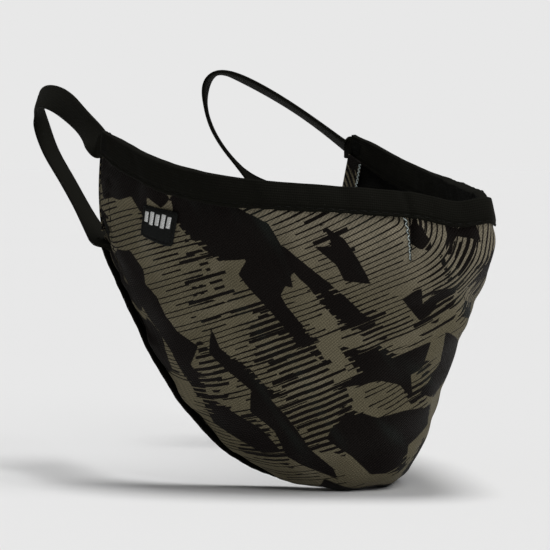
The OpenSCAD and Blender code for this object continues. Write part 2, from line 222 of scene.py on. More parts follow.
# Relief of the sewn cloth: the darts draw it in, the elastic tape gathers it into small
# puckers, and the side hems stand up as a low ridge.  Darts are net places.
DART_TOP = (0.297, 0.0)
DART_TIP = (0.261, 0.19)
DART_DEPTH = 1.2 * MM
DART_HALF_WIDTH = 0.9 * MM
DART_END_SHARE = 0.35
DART_RIDGE = 0.45 * MM
DART_RIDGE_AT = 2.6 * MM
DART_RIDGE_WIDTH = 1.7 * MM
RAY_COUNT = 9
RAY_HEIGHT = 0.10 * MM
RAY_REACH = 3 * MM
# puckers under the tapes: length and height in millimetres, and where the wave starts
PUCKER_WAVES = [(8.3, 0.4, 0.20), (12.9, 1.9, 0.24), (5.1, 2.2, 0.10), (21.0, 0.7, 0.22)]
PUCKER_DRIFT = 17 * MM
GATHER_FROM = 8 * MM
GATHER_FADE = 4.5 * MM
JAW_GATHER = 0.6
FRONT_FULLNESS = 0.45 * MM
JAW_TUCK = 2.0 * MM
TIP_TUCK = 0.9 * MM
# slow unevenness of soft cloth: wave lengths across and down, start and height
SLOW_WAVES = [(31, 23, 0.3, 0.35), (17, -29, 1.4, 0.22), (-13, 15, 2.6, 0.10)]
# soft folds on the flat cloth: both ends, height and reach in millimetres
SOFT_FOLDS = [
    ((-21, -7), (-2, -20), 0.8, 3.2), ((-22, 0), (0, -9), -0.7, 2.6),
    ((-26, 7), (2, 1), 0.6, 4.0), ((-13, -32), (-9, -20), -0.7, 2.0),
    ((-6, -31), (-4, -20), 0.6, 2.2), ((-60, -16), (-52, -4), 0.5, 3.0),
    ((-66, -17), (-60, -6), -0.5, 2.2), ((-112, 2), (-90, 16), 0.4, 4.0),
]
HEM_REACH = 5.2 * MM
HEM_STEP = 0.8 * MM
HEM_RISE = 0.32 * MM
HEM_STITCH_INSET = 4.4 * MM
HEM_FURROW = 0.30 * MM
HEM_FURROW_WIDTH = 0.45 * MM
HEM_RIPPLE = 0.10 * MM
HEM_RIPPLE_PITCH = 4.0 * MM
HEM_RIPPLE_REACH = 3.0 * MM
EDGE_CALM = 3 * MM


def from_segment(x, y, a, b):
    ax, ay = a
    bx, by = b[0] - ax, b[1] - ay
    t = np.clip(((x - ax) * bx + (y - ay) * by) / (bx * bx + by * by), 0, 1)
    return np.hypot(x - ax - t * bx, y - ay - t * by), t


def relief(w, v):
    w, v = grid_of(w, v)
    inside = np.clip(v, 0, 1)
    x = read_flat(flat_across, w, inside)
    y = read_flat(flat_down, w, inside)
    below = read_flat(flat_depth, w, inside)
    lift = np.zeros_like(w)
    for side in (-1, 1):
        ends = [
            [float(read_flat(table, np.array(side * p[0]), np.array(p[1])))
             for table in (flat_across, flat_down)]
            for p in (DART_TOP, DART_TIP)
        ]
        away, along = from_segment(x, y, *ends)
        fade = 1 - smooth(0.8, 1.0, along)
        draw = DART_END_SHARE + (1 - DART_END_SHARE) * fade
        lift -= DART_DEPTH * draw * np.exp(-(away / DART_HALF_WIDTH) ** 2)
        lift += DART_RIDGE * fade * np.exp(-((away - DART_RIDGE_AT) / DART_RIDGE_WIDTH) ** 2)
        rays = np.sin(RAY_COUNT * np.arctan2(y - ends[1][1], x - ends[1][0]))
        near_tip = np.exp(-((away - RAY_REACH) / RAY_REACH) ** 2) * smooth(0.4, 1, along)
        lift += RAY_HEIGHT * rays * near_tip
    gather = np.exp(-np.maximum(below - GATHER_FROM, 0) / GATHER_FADE)
    gather = gather + JAW_GATHER * smooth(0.86, 1.0, v) * np.exp(-np.maximum(1 - v, 0) * 10)
    for length, start, height in PUCKER_WAVES:
        wave = np.sin(2 * pi * x / (length * MM) + start + 1.1 * np.sin(x / PUCKER_DRIFT))
        lift += height * MM * wave * gather
    inset = (1 - abs(w)) / np.maximum(share_in(np.sign(w) + (w == 0), inside, 1.0), 1e-9)
    lift += HEM_RISE * (1 - smooth(HEM_REACH - HEM_STEP, HEM_REACH + HEM_STEP, inset))
    from_stitches = inset - HEM_STITCH_INSET
    lift -= HEM_FURROW * np.exp(-(from_stitches / HEM_FURROW_WIDTH) ** 2)
    ripple = np.sin(2 * pi * y / HEM_RIPPLE_PITCH + 2 * np.sin(x / (9 * MM)))
    lift += HEM_RIPPLE * ripple * np.exp(-(from_stitches / HEM_RIPPLE_REACH) ** 2)
    for (ax, ay), (bx, by), height, reach in SOFT_FOLDS:
        for side in (-1, 1):
            away, along = from_segment(x, y, (-side * ax * MM, ay * MM), (-side * bx * MM, by * MM))
            swell = np.sin(pi * (0.15 + 0.7 * along))
            lift += height * MM * np.exp(-(away / (reach * MM)) ** 2) * swell
    for across, down, start, height in SLOW_WAVES:
        lift += height * MM * np.sin(2 * pi * (x / (across * MM) + y / (down * MM)) + start)
    lift *= 0.3 + 0.7 * smooth(0, EDGE_CALM, inset)
    # the nose and chin stand a little fuller than the net, the jaw edge a little tighter
    lift += FRONT_FULLNESS * (1 - smooth(0.12, 0.42, abs(w))) * smooth(0.05, 0.3, v)
    lift -= TIP_TUCK * (1 - smooth(0.06, 0.25, abs(w))) * np.exp(-((v - 0.24) / 0.11) ** 2)
    return lift - JAW_TUCK * smooth(0.25, 0.5, abs(w)) * smooth(0.75, 1.0, v)


def on_cup(w, v, off, uneven=1.0):
    """Places on the cup, off it outwards, with a share `uneven` of the relief."""
    w, v, off = grid_of(w, v, off)
    raised = off + uneven * relief(w, v)
    return cup_point(w, v) + raised[..., None] * cup_normal(w, v)


def on_strip(w, s, off, uneven=1.0):
    """Places on the turned-under edge: s is the distance from the start of the turn."""
    w, s, off = grid_of(w, s, off)
    n = cup_normal(w, 1)
    out = unit(np.cross(unit(cup_across(w, 1)), n))
    turn = np.minimum(s / CURL_RADIUS, CURL_ANGLE)
    rest = np.maximum(0, s - CURL_RADIUS * CURL_ANGLE)
    off = off + uneven * relief(w, 1 + 0 * w)
    along = (CURL_RADIUS + off) * np.sin(turn) + rest * np.cos(turn)
    up = (CURL_RADIUS + off) * np.cos(turn) - CURL_RADIUS - rest * np.sin(turn)
    return cup_point(w, 1) + along[..., None] * out + up[..., None] * n


def even_columns(a):
    """Net columns a steady distance apart along the cup's middle row."""
    run = flat_across[:, level]
    return np.interp(a, (run - run[0]) / (run[-1] - run[0]), flat_w)


# Every cloth piece starts as a flat grid that is laid in place: `place` turns shares 0 to
# 1 across and down into points and the notes that the finish reads, such as the place on
# the flat cloth.  A tube is a grid whose long sides meet and whose ends are closed.
def laid(name, across, down, place, tube=False, flip=False):
    mesh = bmesh.new()
    bmesh.ops.create_grid(mesh, x_segments=across, y_segments=down, size=0.5)
    mesh.verts.ensure_lookup_table()
    shares = np.array([vert.co[:2] for vert in mesh.verts]) + 0.5
    points, notes = place(shares[:, 0], shares[:, 1])
    for vert, point in zip(mesh.verts, points):
        vert.co = point
    for key, values in notes.items():
        layer = mesh.verts.layers.float_vector.new(key)
        for vert, value in zip(mesh.verts, values):
            vert[layer] = value
    if tube:
        bmesh.ops.remove_doubles(mesh, verts=mesh.verts, dist=1e-7)
        bmesh.ops.holes_fill(mesh, edges=[e for e in mesh.edges if e.is_boundary], sides=0)
        bmesh.ops.recalc_face_normals(mesh, faces=mesh.faces)
    if flip:
        bmesh.ops.reverse_faces(mesh, faces=mesh.faces)
    for face in mesh.faces:
        face.smooth = True
    return finished(name, mesh)


def finished(name, mesh):
    data = bpy.data.meshes.new(name)
    mesh.to_mesh(data)
    mesh.free()
    piece = bpy.data.objects.new(name, data)
    bpy.context.scene.collection.objects.link(piece)
    return piece


def thicken(piece, thickness):
    """Gives the sheet its thickness, all of it behind the face that was laid."""
    wall = piece.modifiers.new("wall", "SOLIDIFY")
    wall.thickness = thickness
    wall.offset = -1.0
    wall.use_even_offset = False


# The print, in millimetres across and down the flat cloth from the middle of the face.
# It repeats sideways.  Shards are solid dark shapes, rungs are places of thick bars and
# strokes are places of fine lines, all bars running up towards the nose.
PRINT_REPEAT = (127, -16)
PRINT_DROP = (18, 104)
SHARDS = [
    [(-98, -8), (-87, -15), (-78, -15), (-66, -14), (-57, -6), (-52, 2), (-62, 2), (-69, -1),
     (-76, 3), (-84, 1), (-95, -2)],
    [(-50, -19), (-43, -17), (-37, -12), (-31, -6), (-39, -5), (-43, -9), (-51, -12), (-46, -14)],
    [(-66, -9), (-59, -9), (-53, -7), (-43, -3), (-34, 1), (-27, 5), (-35, 8), (-43, 4),
     (-48, 0), (-54, -3), (-55, 7), (-61, -1)],
    [(-68, -4), (-61, -1), (-52, 8), (-45, 12), (-34, 22), (-45, 18), (-58, 10), (-69, 4)],
    [(-112, 21), (-112, 18), (-106, 15), (-100, 18), (-98, 22), (-92, 23), (-87, 27), (-82, 30),
     (-74, 31), (-74, 38), (-69, 41), (-66, 45), (-66, 49), (-73, 44), (-80, 38), (-86, 35),
     (-91, 33), (-97, 29), (-102, 27), (-107, 24)],
    [(-72, 23), (-67, 28), (-56, 31), (-51, 34), (-45, 35), (-50, 39), (-58, 36), (-70, 31)],
    [(-54, 38), (-50, 36), (-42, 41), (-31, 50), (-22, 55), (-18, 59), (-30, 57), (-36, 55),
     (-43, 48), (-52, 44)],
    [(-34, 15), (-27, 15), (-22, 12), (-16, 14), (-7, 8), (-6, 17), (-9, 20), (-5, 29),
     (-11, 24), (-18, 23), (-24, 26), (-29, 28), (-25, 22)],
    [(-21, -4), (-19, -7), (-17, -9), (-14, -3), (-13, -6), (-12, -9), (-8, -10), (-6, -12),
     (-4, -14), (-6, -10), (-5, -6), (-9, -3), (-11, 0), (-13, 2), (-17, -1)],
    [(-25, -30), (-22, -29), (-20, -25), (-18, -23), (-17, -20), (-21, -20), (-24, -21)],
    [(-16, -22), (-13, -19), (-11, -16), (-9, -12), (-12, -15), (-14, -18)],
    [(-14, -29), (-10, -28), (-7, -31), (-4, -30), (-2, -25), (-4, -25), (-5, -26), (-10, -26),
     (-11, -24), (-11, -19), (-13, -21)],
    [(-1, -1), (0, -5), (-2, -8), (2, -5), (8, -4), (6, -3), (9, 1), (4, 0)],
    [(-26, 34), (-15, 35), (-8, 32), (3, 30), (7, 38), (-1, 44), (1, 52), (-10, 55),
     (-19, 49), (-28, 45)],
    [(-129, -2), (-122, -8), (-112, -9), (-109, -3), (-115, 3), (-123, 6)],
    [(-106, -12), (-98, -7), (-100, -3), (-106, -4), (-109, -3)],
    [(-68, 46), (-59, 46), (-47, 49), (-38, 54), (-42, 58), (-57, 56)],
    [(-4, 4), (12, 11), (14, 20), (4, 28), (-4, 26), (1, 16)],
    [(-92, 33), (-86, 35), (-76, 44), (-70, 52), (-80, 46)],
    [(10, -30), (20, -24), (24, -12), (16, -16)],
    [(-22, 60), (-10, 62), (4, 60), (14, 66), (-4, 68), (-20, 66)],
    [(18, 10), (30, 12), (38, 22), (34, 32), (24, 28), (16, 20)],
    [(40, 22), (52, 30), (62, 40), (54, 46), (44, 36)],
    [(24, 36), (40, 40), (54, 52), (40, 56), (28, 48)],
    [(6, 42), (16, 48), (28, 60), (18, 66), (4, 56)],
]
RUNGS = [
    [(-62, 8), (-48, 12), (-32, 22), (-22, 36), (-20, 50), (-30, 50), (-44, 38), (-50, 30),
     (-60, 22)],
    [(-55, -22), (-45, -20), (-40, -13), (-50, -14)],
    [(-76, 28), (-66, 30), (-60, 40), (-60, 48), (-70, 44)],
    [(-36, 2), (-26, 2), (-20, 10), (-32, 10)],
    [(-90, 0), (-80, 2), (-72, 8), (-66, 14), (-74, 12), (-86, 6)],
    [(-3, -11), (-3, -15), (-2, -18), (1, -20), (7, -18), (8, -13), (9, -9)],
    [(-11, -19), (-11, -24), (-9, -26), (-4, -26), (-3, -21), (-6, -16), (-8, -17)],
    [(-14, -36), (-2, -36), (-2, -28), (-14, -27)],
    [(-88, 4), (-85, 4), (-76, 19), (-79, 19)],
    [(-84, 6), (-82, 5), (-72, 20), (-74, 21)],
    [(-6, 16), (2, 18), (-2, 30), (-8, 26)],
    [(-52, 46), (-40, 52), (-30, 60), (-46, 60)],
    [(-16, -6), (-4, -8), (-6, 4), (-14, 4)],
    [(14, 24), (30, 30), (50, 52), (36, 62), (18, 46)],
    [(36, 20), (48, 26), (58, 38), (46, 38)],
]
STROKES = [
    [(-80, -22), (-24, -38), (-20, -10), (-30, 8), (-44, -4), (-60, -10), (-76, -10)],
    [(-104, 2), (-88, 2), (-76, 18), (-64, 16), (-62, 34), (-80, 28), (-94, 20), (-104, 12)],
    [(-26, -40), (10, -40), (9, -14), (-2, -6), (-20, -6)],
    [(-64, 4), (-48, 2), (-40, 12), (-50, 20), (-66, 14)],
    [(-40, 2), (-18, -8), (-10, 6), (-26, 16)],
    [(-20, 22), (2, 16), (0, 34), (-16, 34)],
    [(-66, 20), (-50, 24), (-34, 42), (-24, 58), (-48, 52), (-62, 38)],
    [(-128, -2), (-114, 3), (-103, 4), (-98, 12), (-100, 20), (-112, 26), (-126, 22)],
    [(-94, 30), (-82, 30), (-70, 46), (-80, 48)],
    [(-60, 52), (-30, 58), (0, 62), (0, 68), (-60, 64)],
]
# bars and lines run along rings about a ray that starts here and falls away behind
STROKE_START = (-30, -27)
STROKE_RISE = radians(40)
PRINT_MARGIN = 9


def outline_distance(x, y, outlines):
    """Distance in millimetres to the nearest outline, negative inside a shape."""
    nearest = np.full(x.shape, 1e9)
    for turn, drop in [(t, d) for t in (-1, 0, 1) for d in (-1, 0, 1)]:
        move = np.array(PRINT_REPEAT) * turn + np.array(PRINT_DROP) * drop
        for outline in outlines:
            px, py = (np.array(outline, float) + move).T
            if (px.min() > x.max() + PRINT_MARGIN or px.max() < x.min() - PRINT_MARGIN
                    or py.min() > y.max() + PRINT_MARGIN or py.max() < y.min() - PRINT_MARGIN):
                continue
            away = np.full(x.shape, 1e9)
            inside = np.zeros(x.shape, bool)
            for k in range(len(px)):
                ax, ay, bx, by = px[k - 1], py[k - 1], px[k], py[k]
                away = np.minimum(away, from_segment(x, y, (ax, ay), (bx, by))[0])
                crosses = (ay > y) != (by > y)
                at = ax + (y - ay) * (bx - ax) / (by - ay if by != ay else 1e-9)
                inside ^= crosses & (x < at)
            nearest = np.minimum(nearest, np.where(inside, -away, away))
    return nearest


def printed(x, y):
    """What the printed cloth needs to know at each place: x and y are in metres."""
    x, y = x / MM, y / MM
    behind = (-cos(STROKE_RISE), sin(STROKE_RISE))
    along = np.maximum((x - STROKE_START[0]) * behind[0] + (y - STROKE_START[1]) * behind[1], 0)
    stroke = np.hypot(x - STROKE_START[0] - along * behind[0],
                      y - STROKE_START[1] - along * behind[1])
    shapes = [outline_distance(x, y, group) for group in (SHARDS, RUNGS, STROKES)]
    return {
        "cloth_place": np.stack([x * MM, y * MM, stroke * MM], -1),
        "cloth_print": np.stack(shapes, -1) * MM,
    }


OUTER_ACROSS = 276
OUTER_DOWN = 138
STRIP_SHARE = 0.088
# under the tapered ends of the top tape the cloth stops a little lower
TOP_END_DROP = 0.035
TOP_END_FROM = 0.94


def outer_place(a, b, off=0.0):
    w = even_columns(a)
    t = 1 - b
    v = np.minimum(t / (1 - STRIP_SHARE), 1)
    v = v + TOP_END_DROP * smooth(TOP_END_FROM, 1.0, abs(w)) * (1 - v) ** 6
    s = np.maximum(t - (1 - STRIP_SHARE), 0) / STRIP_SHARE * STRIP_LENGTH
    points = np.where((s > 0)[:, None], on_strip(w, s, off), on_cup(w, v, off))
    x = read_flat(flat_across, w, v)
    y = read_flat(flat_down, w, v) + s
    return points, printed(x, y)


cup_outer = laid("printed_cloth", OUTER_ACROSS, OUTER_DOWN, outer_place)
thicken(cup_outer, CLOTH_THICKNESS)
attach(cup_outer, "mask")
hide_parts("outer_panel")


class Shade:
    """A shader value that can be used in sums and products."""

    def __init__(self, finish, socket):
        self.finish = finish
        self.socket = socket

    def maths(self, operation, *others, first=None):
        values = [self, *others] if first is None else [first, self, *others]
        return self.finish.node("ShaderNodeMath", {"operation": operation},
                                {k: value for k, value in enumerate(values)})

    def __add__(self, other):
        return self.maths("ADD", other)

    def __radd__(self, other):
        return self.maths("ADD", first=other)

    def __sub__(self, other):
        return self.maths("SUBTRACT", other)

    def __rsub__(self, other):
        return self.maths("SUBTRACT", first=other)

    def __mul__(self, other):
        return self.maths("MULTIPLY", other)

    def __truediv__(self, other):
        return self.maths("DIVIDE", other)

    def clipped(self):
        return self.maths("MINIMUM", 1.0).maths("MAXIMUM", 0.0)

    def step(self, low, high):
        """Goes smoothly from 0 at low to 1 at high."""
        return self.finish.node("ShaderNodeMapRange", {"interpolation_type": "SMOOTHSTEP"},
                                {"Value": self, "From Min": low, "From Max": high})


# sockets of the Mix node: share, first, second and result, for colours and for numbers
MIX_COLOURS = (0, 6, 7, 2)
MIX_NUMBERS = (0, 2, 3, 0)


class Finish:
    """A fabric finish: one material and the nodes that vary it."""

    def __init__(self, name, roughness, sheen=0.0, sheen_tint=(1, 1, 1), specular=0.3):
        self.material = bpy.data.materials.new(name)
        self.material.use_nodes = True
        self.tree = self.material.node_tree
        self.shader = self.tree.nodes["Principled BSDF"]
        self.shader.inputs["Roughness"].default_value = roughness
        self.shader.inputs["Specular IOR Level"].default_value = specular
        self.shader.inputs["Sheen Weight"].default_value = sheen
        self.shader.inputs["Sheen Tint"].default_value = (*sheen_tint, 1)

    def node(self, kind, settings=None, inputs=None, output=0):
        made = self.tree.nodes.new(kind)
        for key, value in (settings or {}).items():
            setattr(made, key, value)
        for key, value in (inputs or {}).items():
            if isinstance(value, Shade):
                self.tree.links.new(value.socket, made.inputs[key])
            else:
                made.inputs[key].default_value = value
        return Shade(self, made.outputs[output])

    def parts(self, vector):
        made = self.tree.nodes.new("ShaderNodeSeparateXYZ")
        self.tree.links.new(vector.socket, made.inputs[0])
        return [Shade(self, out) for out in made.outputs]

    def vector(self, x, y, z=0.0):
        return self.node("ShaderNodeCombineXYZ", None, {0: x, 1: y, 2: z})

    def noise(self, vector, scale, detail=2.0):
        return self.node("ShaderNodeTexNoise", {"noise_dimensions": "3D"},
                         {"Vector": vector, "Scale": scale, "Detail": detail})

    def random(self, value):
        return self.node("ShaderNodeTexWhiteNoise", {"noise_dimensions": "1D"}, {"W": value})

    def mix(self, share, first, second):
        made = self.tree.nodes.new("ShaderNodeMix")
        made.data_type = "RGBA"
        for k, value in zip(MIX_COLOURS, (share, first, second)):
            if isinstance(value, Shade):
                self.tree.links.new(value.socket, made.inputs[k])
            else:
                made.inputs[k].default_value = value if isinstance(value, float) else (*value, 1)
        return Shade(self, made.outputs[MIX_COLOURS[3]])

    def feed(self, name, value):
        self.tree.links.new(value.socket, self.shader.inputs[name])

    def bump(self, height, distance, strength=1.0):
        bumped = self.node("ShaderNodeBump", None,
                           {"Height": height, "Distance": distance, "Strength": strength})
        self.feed("Normal", bumped)

    def object_place(self):
        return self.node("ShaderNodeTexCoord", output="Object")

    def attribute(self, name):
        return self.node("ShaderNodeAttribute", {"attribute_name": name}, output="Vector")


def twill(across, down, pitch):
    """Fine diagonal ribs of the cloth, 0 in a furrow and 1 on a rib."""
    k = 2 * pi / pitch
    ribs = ((across + down * 0.6) * k).maths("SINE") * 0.5 + 0.5
    picks = ((across * 0.7 - down) * k).maths("SINE") * 0.5 + 0.5
    return ribs * 0.65 + picks * 0.35


KHAKI = (0.186, 0.163, 0.104)
# the paler khaki serves for random paler patches and for the painted light on the upper cloth
KHAKI_PALE = (0.300, 0.263, 0.192)
KHAKI_DEEP = (0.140, 0.121, 0.073)
PRINT_DARK = (0.0050, 0.0028, 0.0020)
# painted sheen: the lighter greenish grey that the dark ink is painted in swaths
SHEEN_GREEN = (0.0120, 0.0145, 0.0120)
BAR_PITCH = 2.05 * MM
LINE_PITCH = 1.62 * MM
PRINT_BLUR = 0.15 * MM
SHARD_BLUR = 0.12 * MM
SWATH_BLUR = 0.035
# painted light: the ground is painted fading to the paler khaki towards the top of the flat cloth,
# between these two heights, for the light from above
PAINTED_LIGHT_FULL_ABOVE, PAINTED_LIGHT_NONE_BELOW = -0.026, 0.006
TWILL_PITCH = 0.90 * MM
FURROW_DARKNESS = 0.62


def printed_finish():
    f = Finish("printed_twill", roughness=0.78, sheen=0.05, sheen_tint=(0.9, 0.9, 0.85),
               specular=0.10)
    x, y, stroke = f.parts(f.attribute("cloth_place"))
    shard, rung, line = f.parts(f.attribute("cloth_print"))
    flat = f.vector(x, y)
    # which bar and which line each place falls on, how near its middle, and its luck
    count = (stroke / BAR_PITCH).maths("FLOOR")
    across_bar = (stroke / BAR_PITCH).maths("FRACT")
    middle = (across_bar - 0.5).maths("ABSOLUTE")
    luck = f.random(count)
    luck_two = f.random(count + 71.3)
    line_count = (stroke / LINE_PITCH).maths("FLOOR")
    line_middle = ((stroke / LINE_PITCH).maths("FRACT") - 0.5).maths("ABSOLUTE")
    line_luck = f.random(line_count + 17.9)
    # bars and lines start, end and swell unevenly, as if drawn with a dry brush
    ragged = f.noise(flat, 420.0, 2.0)
    fray = (ragged - 0.5) * (1.1 * MM)
    rung_here = rung + (luck - 0.5) * (5.5 * MM) + fray
    line_here = line + (line_luck - 0.5) * (9.0 * MM) + fray
    thick = 0.27 + (luck_two - 0.5) * 0.12 + (ragged - 0.5) * 0.10
    heavy = f.noise(flat, 31.0, 1.0).step(0.45, 0.62)
    thin = 0.12 + heavy * 0.10 + (line_luck - 0.5) * 0.05 + (ragged - 0.5) * 0.06
    bars = ((1 - (middle - thick).step(-SWATH_BLUR, SWATH_BLUR))
            * (1 - rung_here.step(-PRINT_BLUR, PRINT_BLUR)))
    lines = ((1 - (line_middle - thin).step(-SWATH_BLUR, SWATH_BLUR))
             * (1 - line_here.step(-PRINT_BLUR, PRINT_BLUR)))
    # some edges of the solid shapes are combed out along the bars
    comb = (luck - 0.5) * (4.2 * MM) * f.noise(flat, 28.0, 1.0).step(0.50, 0.55)
    solid = 1 - (shard + comb * (middle - 0.30).step(-0.02, 0.02) + fray * 0.35).step(
        -SHARD_BLUR, SHARD_BLUR)
    dark = bars.maths("MAXIMUM", lines).maths("MAXIMUM", solid)
    # the khaki ground varies from place to place and is painted paler towards the top of the cloth
    # as painted light, and the dark ink is painted a lighter greenish grey in swaths as a painted
    # sheen
    tone = f.noise(flat, 26.0, 3.0)
    ground = f.mix(tone.step(0.30, 0.72), KHAKI_DEEP, KHAKI)
    ground = f.mix(f.noise(flat, 61.0, 2.0).step(0.5, 0.85) * 0.5, ground, KHAKI_PALE)
    # painted light: the upper cloth is painted paler, as if lit from above
    ground = f.mix((1 - y.step(PAINTED_LIGHT_FULL_ABOVE, PAINTED_LIGHT_NONE_BELOW)) * 0.75, ground, KHAKI_PALE)
    # painted sheen: swaths where the dark ink is painted a lighter greenish grey
    painted_sheen = f.noise(f.vector((x + y * 0.8) * 0.35, (y - x * 0.8) * 1.6), 38.0, 2.0)
    ink_and_sheen = f.mix(painted_sheen.step(0.52, 0.70), PRINT_DARK, SHEEN_GREEN)
    # the weave: dark furrows between the ribs, and a little fuzz
    weave = twill(x, y, TWILL_PITCH)
    fuzz = f.noise(flat, 2200.0, 2.0)
    colour = f.mix(dark, ground, ink_and_sheen)
    furrow = ((1 - weave) * 0.75 + (fuzz - 0.5) * 0.8).clipped()
    colour = f.mix(furrow * FURROW_DARKNESS, colour, (0.0, 0.0, 0.0))
    f.feed("Base Color", colour)
    f.feed("Roughness", 0.70 + dark * 0.06 + fuzz * 0.12)
    f.bump(weave * 0.8 + fuzz * 0.4, 0.22 * MM, 1.0)
    return f.material


PRINTED_TWILL = printed_finish()
cup_outer.data.materials.append(PRINTED_TWILL)

# ---------------------------------------------------------------------------
# Lining.  The inner ply is a black knitted polyester, sewn to the outer ply all round.
# ---------------------------------------------------------------------------
LINING_OFF = -0.6 * MM
LINING_THICKNESS = 0.4 * MM
KNIT_COURSE = 0.9 * MM
KNIT_WALE = 0.7 * MM
LINING_BLACK = (0.0022, 0.0022, 0.0017)
LINING_GREY = (0.0060, 0.0060, 0.0048)


def lining_place(a, b):
    points, _ = outer_place(a, b, LINING_OFF)
    w = even_columns(a)
    v = np.minimum((1 - b) / (1 - STRIP_SHARE), 1)
    place = np.stack([read_flat(flat_across, w, v), read_flat(flat_down, w, v), 0 * w], -1)
    return points, {"cloth_place": place}


lining = laid("lining_cloth", 170, 84, lining_place)
thicken(lining, LINING_THICKNESS)
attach(lining, "mask")
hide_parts("lining_panel")


def knit_finish():
    f = Finish("lining_knit", roughness=0.85, sheen=0.015, sheen_tint=(0.8, 0.8, 0.8),
               specular=0.05)
    x, y, _ = f.parts(f.attribute("cloth_place"))
    flat = f.vector(x, y)
    loops = (x * (2 * pi / KNIT_COURSE)).maths("SINE") * (y * (2 * pi / KNIT_WALE)).maths("SINE")
    fuzz = f.noise(flat, 1800.0, 3.0)
    shade = (loops * 0.25 + 0.25 + fuzz * 0.5).clipped()
    f.feed("Base Color", f.mix(shade, LINING_BLACK, LINING_GREY))
    f.feed("Roughness", 0.78 + fuzz * 0.15)
    f.bump(loops * 0.5 + fuzz * 0.5, 0.2 * MM, 0.8)
    return f.material


lining.data.materials.append(knit_finish())

# ---------------------------------------------------------------------------
# Side hems.  At each ear the printed ply is turned round the lining and stitched down,
# so its printed face shows inside as a narrow strip.
# ---------------------------------------------------------------------------
LAYERS_THICKNESS = 1.0 * MM
SEW_GAP = 0.2 * MM
HEM_TOP = 0.19
HEM_BOTTOM = 0.97
HEM_WIDTH = 6 * MM
HEM_FOLD = 0.5 * MM
HEM_FOLD_SHARE = 0.9
HEM_TURN_SHARE = 0.25
HEM_START_PAST = 0.1 * MM
HEM_BULGE = 0.55 * MM
HEM_WAVE = 0.12 * MM
HEM_WAVES = 90
HEM_UNEVEN = 0.3
HEM_PRINT = (-42, 20)
HEM_FAR = -LAYERS_THICKNESS - SEW_GAP - HEM_FOLD


def hem_places(side):
    def place(a, b):
        v = HEM_BOTTOM + (HEM_TOP - HEM_BOTTOM) * b
        # round the edge for the first quarter, then in along the lining
        turn = np.minimum(a / HEM_TURN_SHARE, 1) * pi
        inward = np.maximum(a - HEM_TURN_SHARE, 0) / (1 - HEM_TURN_SHARE) * HEM_WIDTH
        off = HEM_FAR / 2 - HEM_FAR / 2 * np.cos(turn)
        past = HEM_START_PAST + HEM_BULGE * np.sin(turn)
        wavy = HEM_WAVE * np.sin(v * HEM_WAVES) * smooth(0, HEM_WIDTH, inward)
        edge = side + 0 * v
        points = on_cup(side * (1 - share_in(edge, v, inward)), v, off + wavy, HEM_UNEVEN)
        points += (past * (inward <= 0))[:, None] * side * unit(cup_across(edge, v))
        x = HEM_PRINT[0] * MM - side * (past + inward)
        return points, printed(x, HEM_PRINT[1] * MM + read_flat(flat_down, edge, v))
    return place


for side, word in ((-1, "right"), (1, "left")):
    hem = laid("side_hem_cloth_" + word, 24, 48, hem_places(side), flip=side > 0)
    thicken(hem, HEM_FOLD * HEM_FOLD_SHARE)
    hem.data.materials.append(PRINTED_TWILL)
    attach(hem, "mask")
    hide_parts("side_hem_" + word)

# ---------------------------------------------------------------------------
# Edge tapes.  A soft black elastic tape is folded over the top edge and another over
# the turned-under bottom edge; both are sewn through near the free edge of the fold.
# ---------------------------------------------------------------------------
TAPE_WIDTH = 8.4 * MM
TAPE_PLY = 0.8 * MM
TAPE_PLY_SHARE = 0.9
STITCH_INSET = 1.2 * MM
TAPE_OUTSIDE = SEW_GAP + TAPE_PLY
TAPE_INSIDE = LAYERS_THICKNESS + SEW_GAP + TAPE_PLY
TAPE_UNEVEN = 0.35
FLAP_SHARE = 0.44
FOLD_RISE = 0.4 * MM
FLAP_CROWN = 0.14 * MM
SEWN_DEPTH = 0.22 * MM
SEWN_WIDTH = 0.5 * MM
FREE_EDGE_DEPTH = 0.30 * MM
WAVE_FROM = 5 * MM
TAPE_END_FROM = 0.955
TAPE_END_THINNING = 0.22
TAPE_END_PAST = 0.5 * MM
RIB_PITCH = 0.75 * MM
PICK_PITCH = 0.55 * MM
TAPE_BLACK = (0.0022, 0.0021, 0.0014)
TAPE_GREY = (0.0085, 0.0083, 0.0058)


def fold_section(b):
    """Goes from the free edge outside, over the fold, to the free edge inside."""
    outer = b < FLAP_SHARE
    inner = b > 1 - FLAP_SHARE
    flap = np.where(outer, 1 - b / FLAP_SHARE,
                    np.where(inner, (b - 1 + FLAP_SHARE) / FLAP_SHARE, 0))
    turn = np.clip((b - FLAP_SHARE) / (1 - 2 * FLAP_SHARE), 0, 1) * pi
    centre = (TAPE_OUTSIDE - TAPE_INSIDE) / 2
    reach = (TAPE_OUTSIDE + TAPE_INSIDE) / 2
    off = centre + reach * np.cos(turn)
    inset = flap * TAPE_WIDTH - FOLD_RISE * np.sin(turn)
    sewn = np.exp(-((flap * TAPE_WIDTH - (TAPE_WIDTH - STITCH_INSET)) / SEWN_WIDTH) ** 2)
    free = smooth(0.93, 1.0, flap)
    crown = FLAP_CROWN * np.sin(np.clip(flap, 0, 1) * pi)
    shift = crown - SEWN_DEPTH * sewn - FREE_EDGE_DEPTH * free
    return inset, off + np.where(outer, shift, np.where(inner, -shift, 0))


def tape_wave(w):
    """The slight waviness of the free edges."""
    x = read_flat(flat_across, w, 0 * w)
    return 0.10 * MM * np.sin(2 * pi * x / (4.0 * MM)) + 0.12 * MM * np.sin(x / (3.1 * MM))


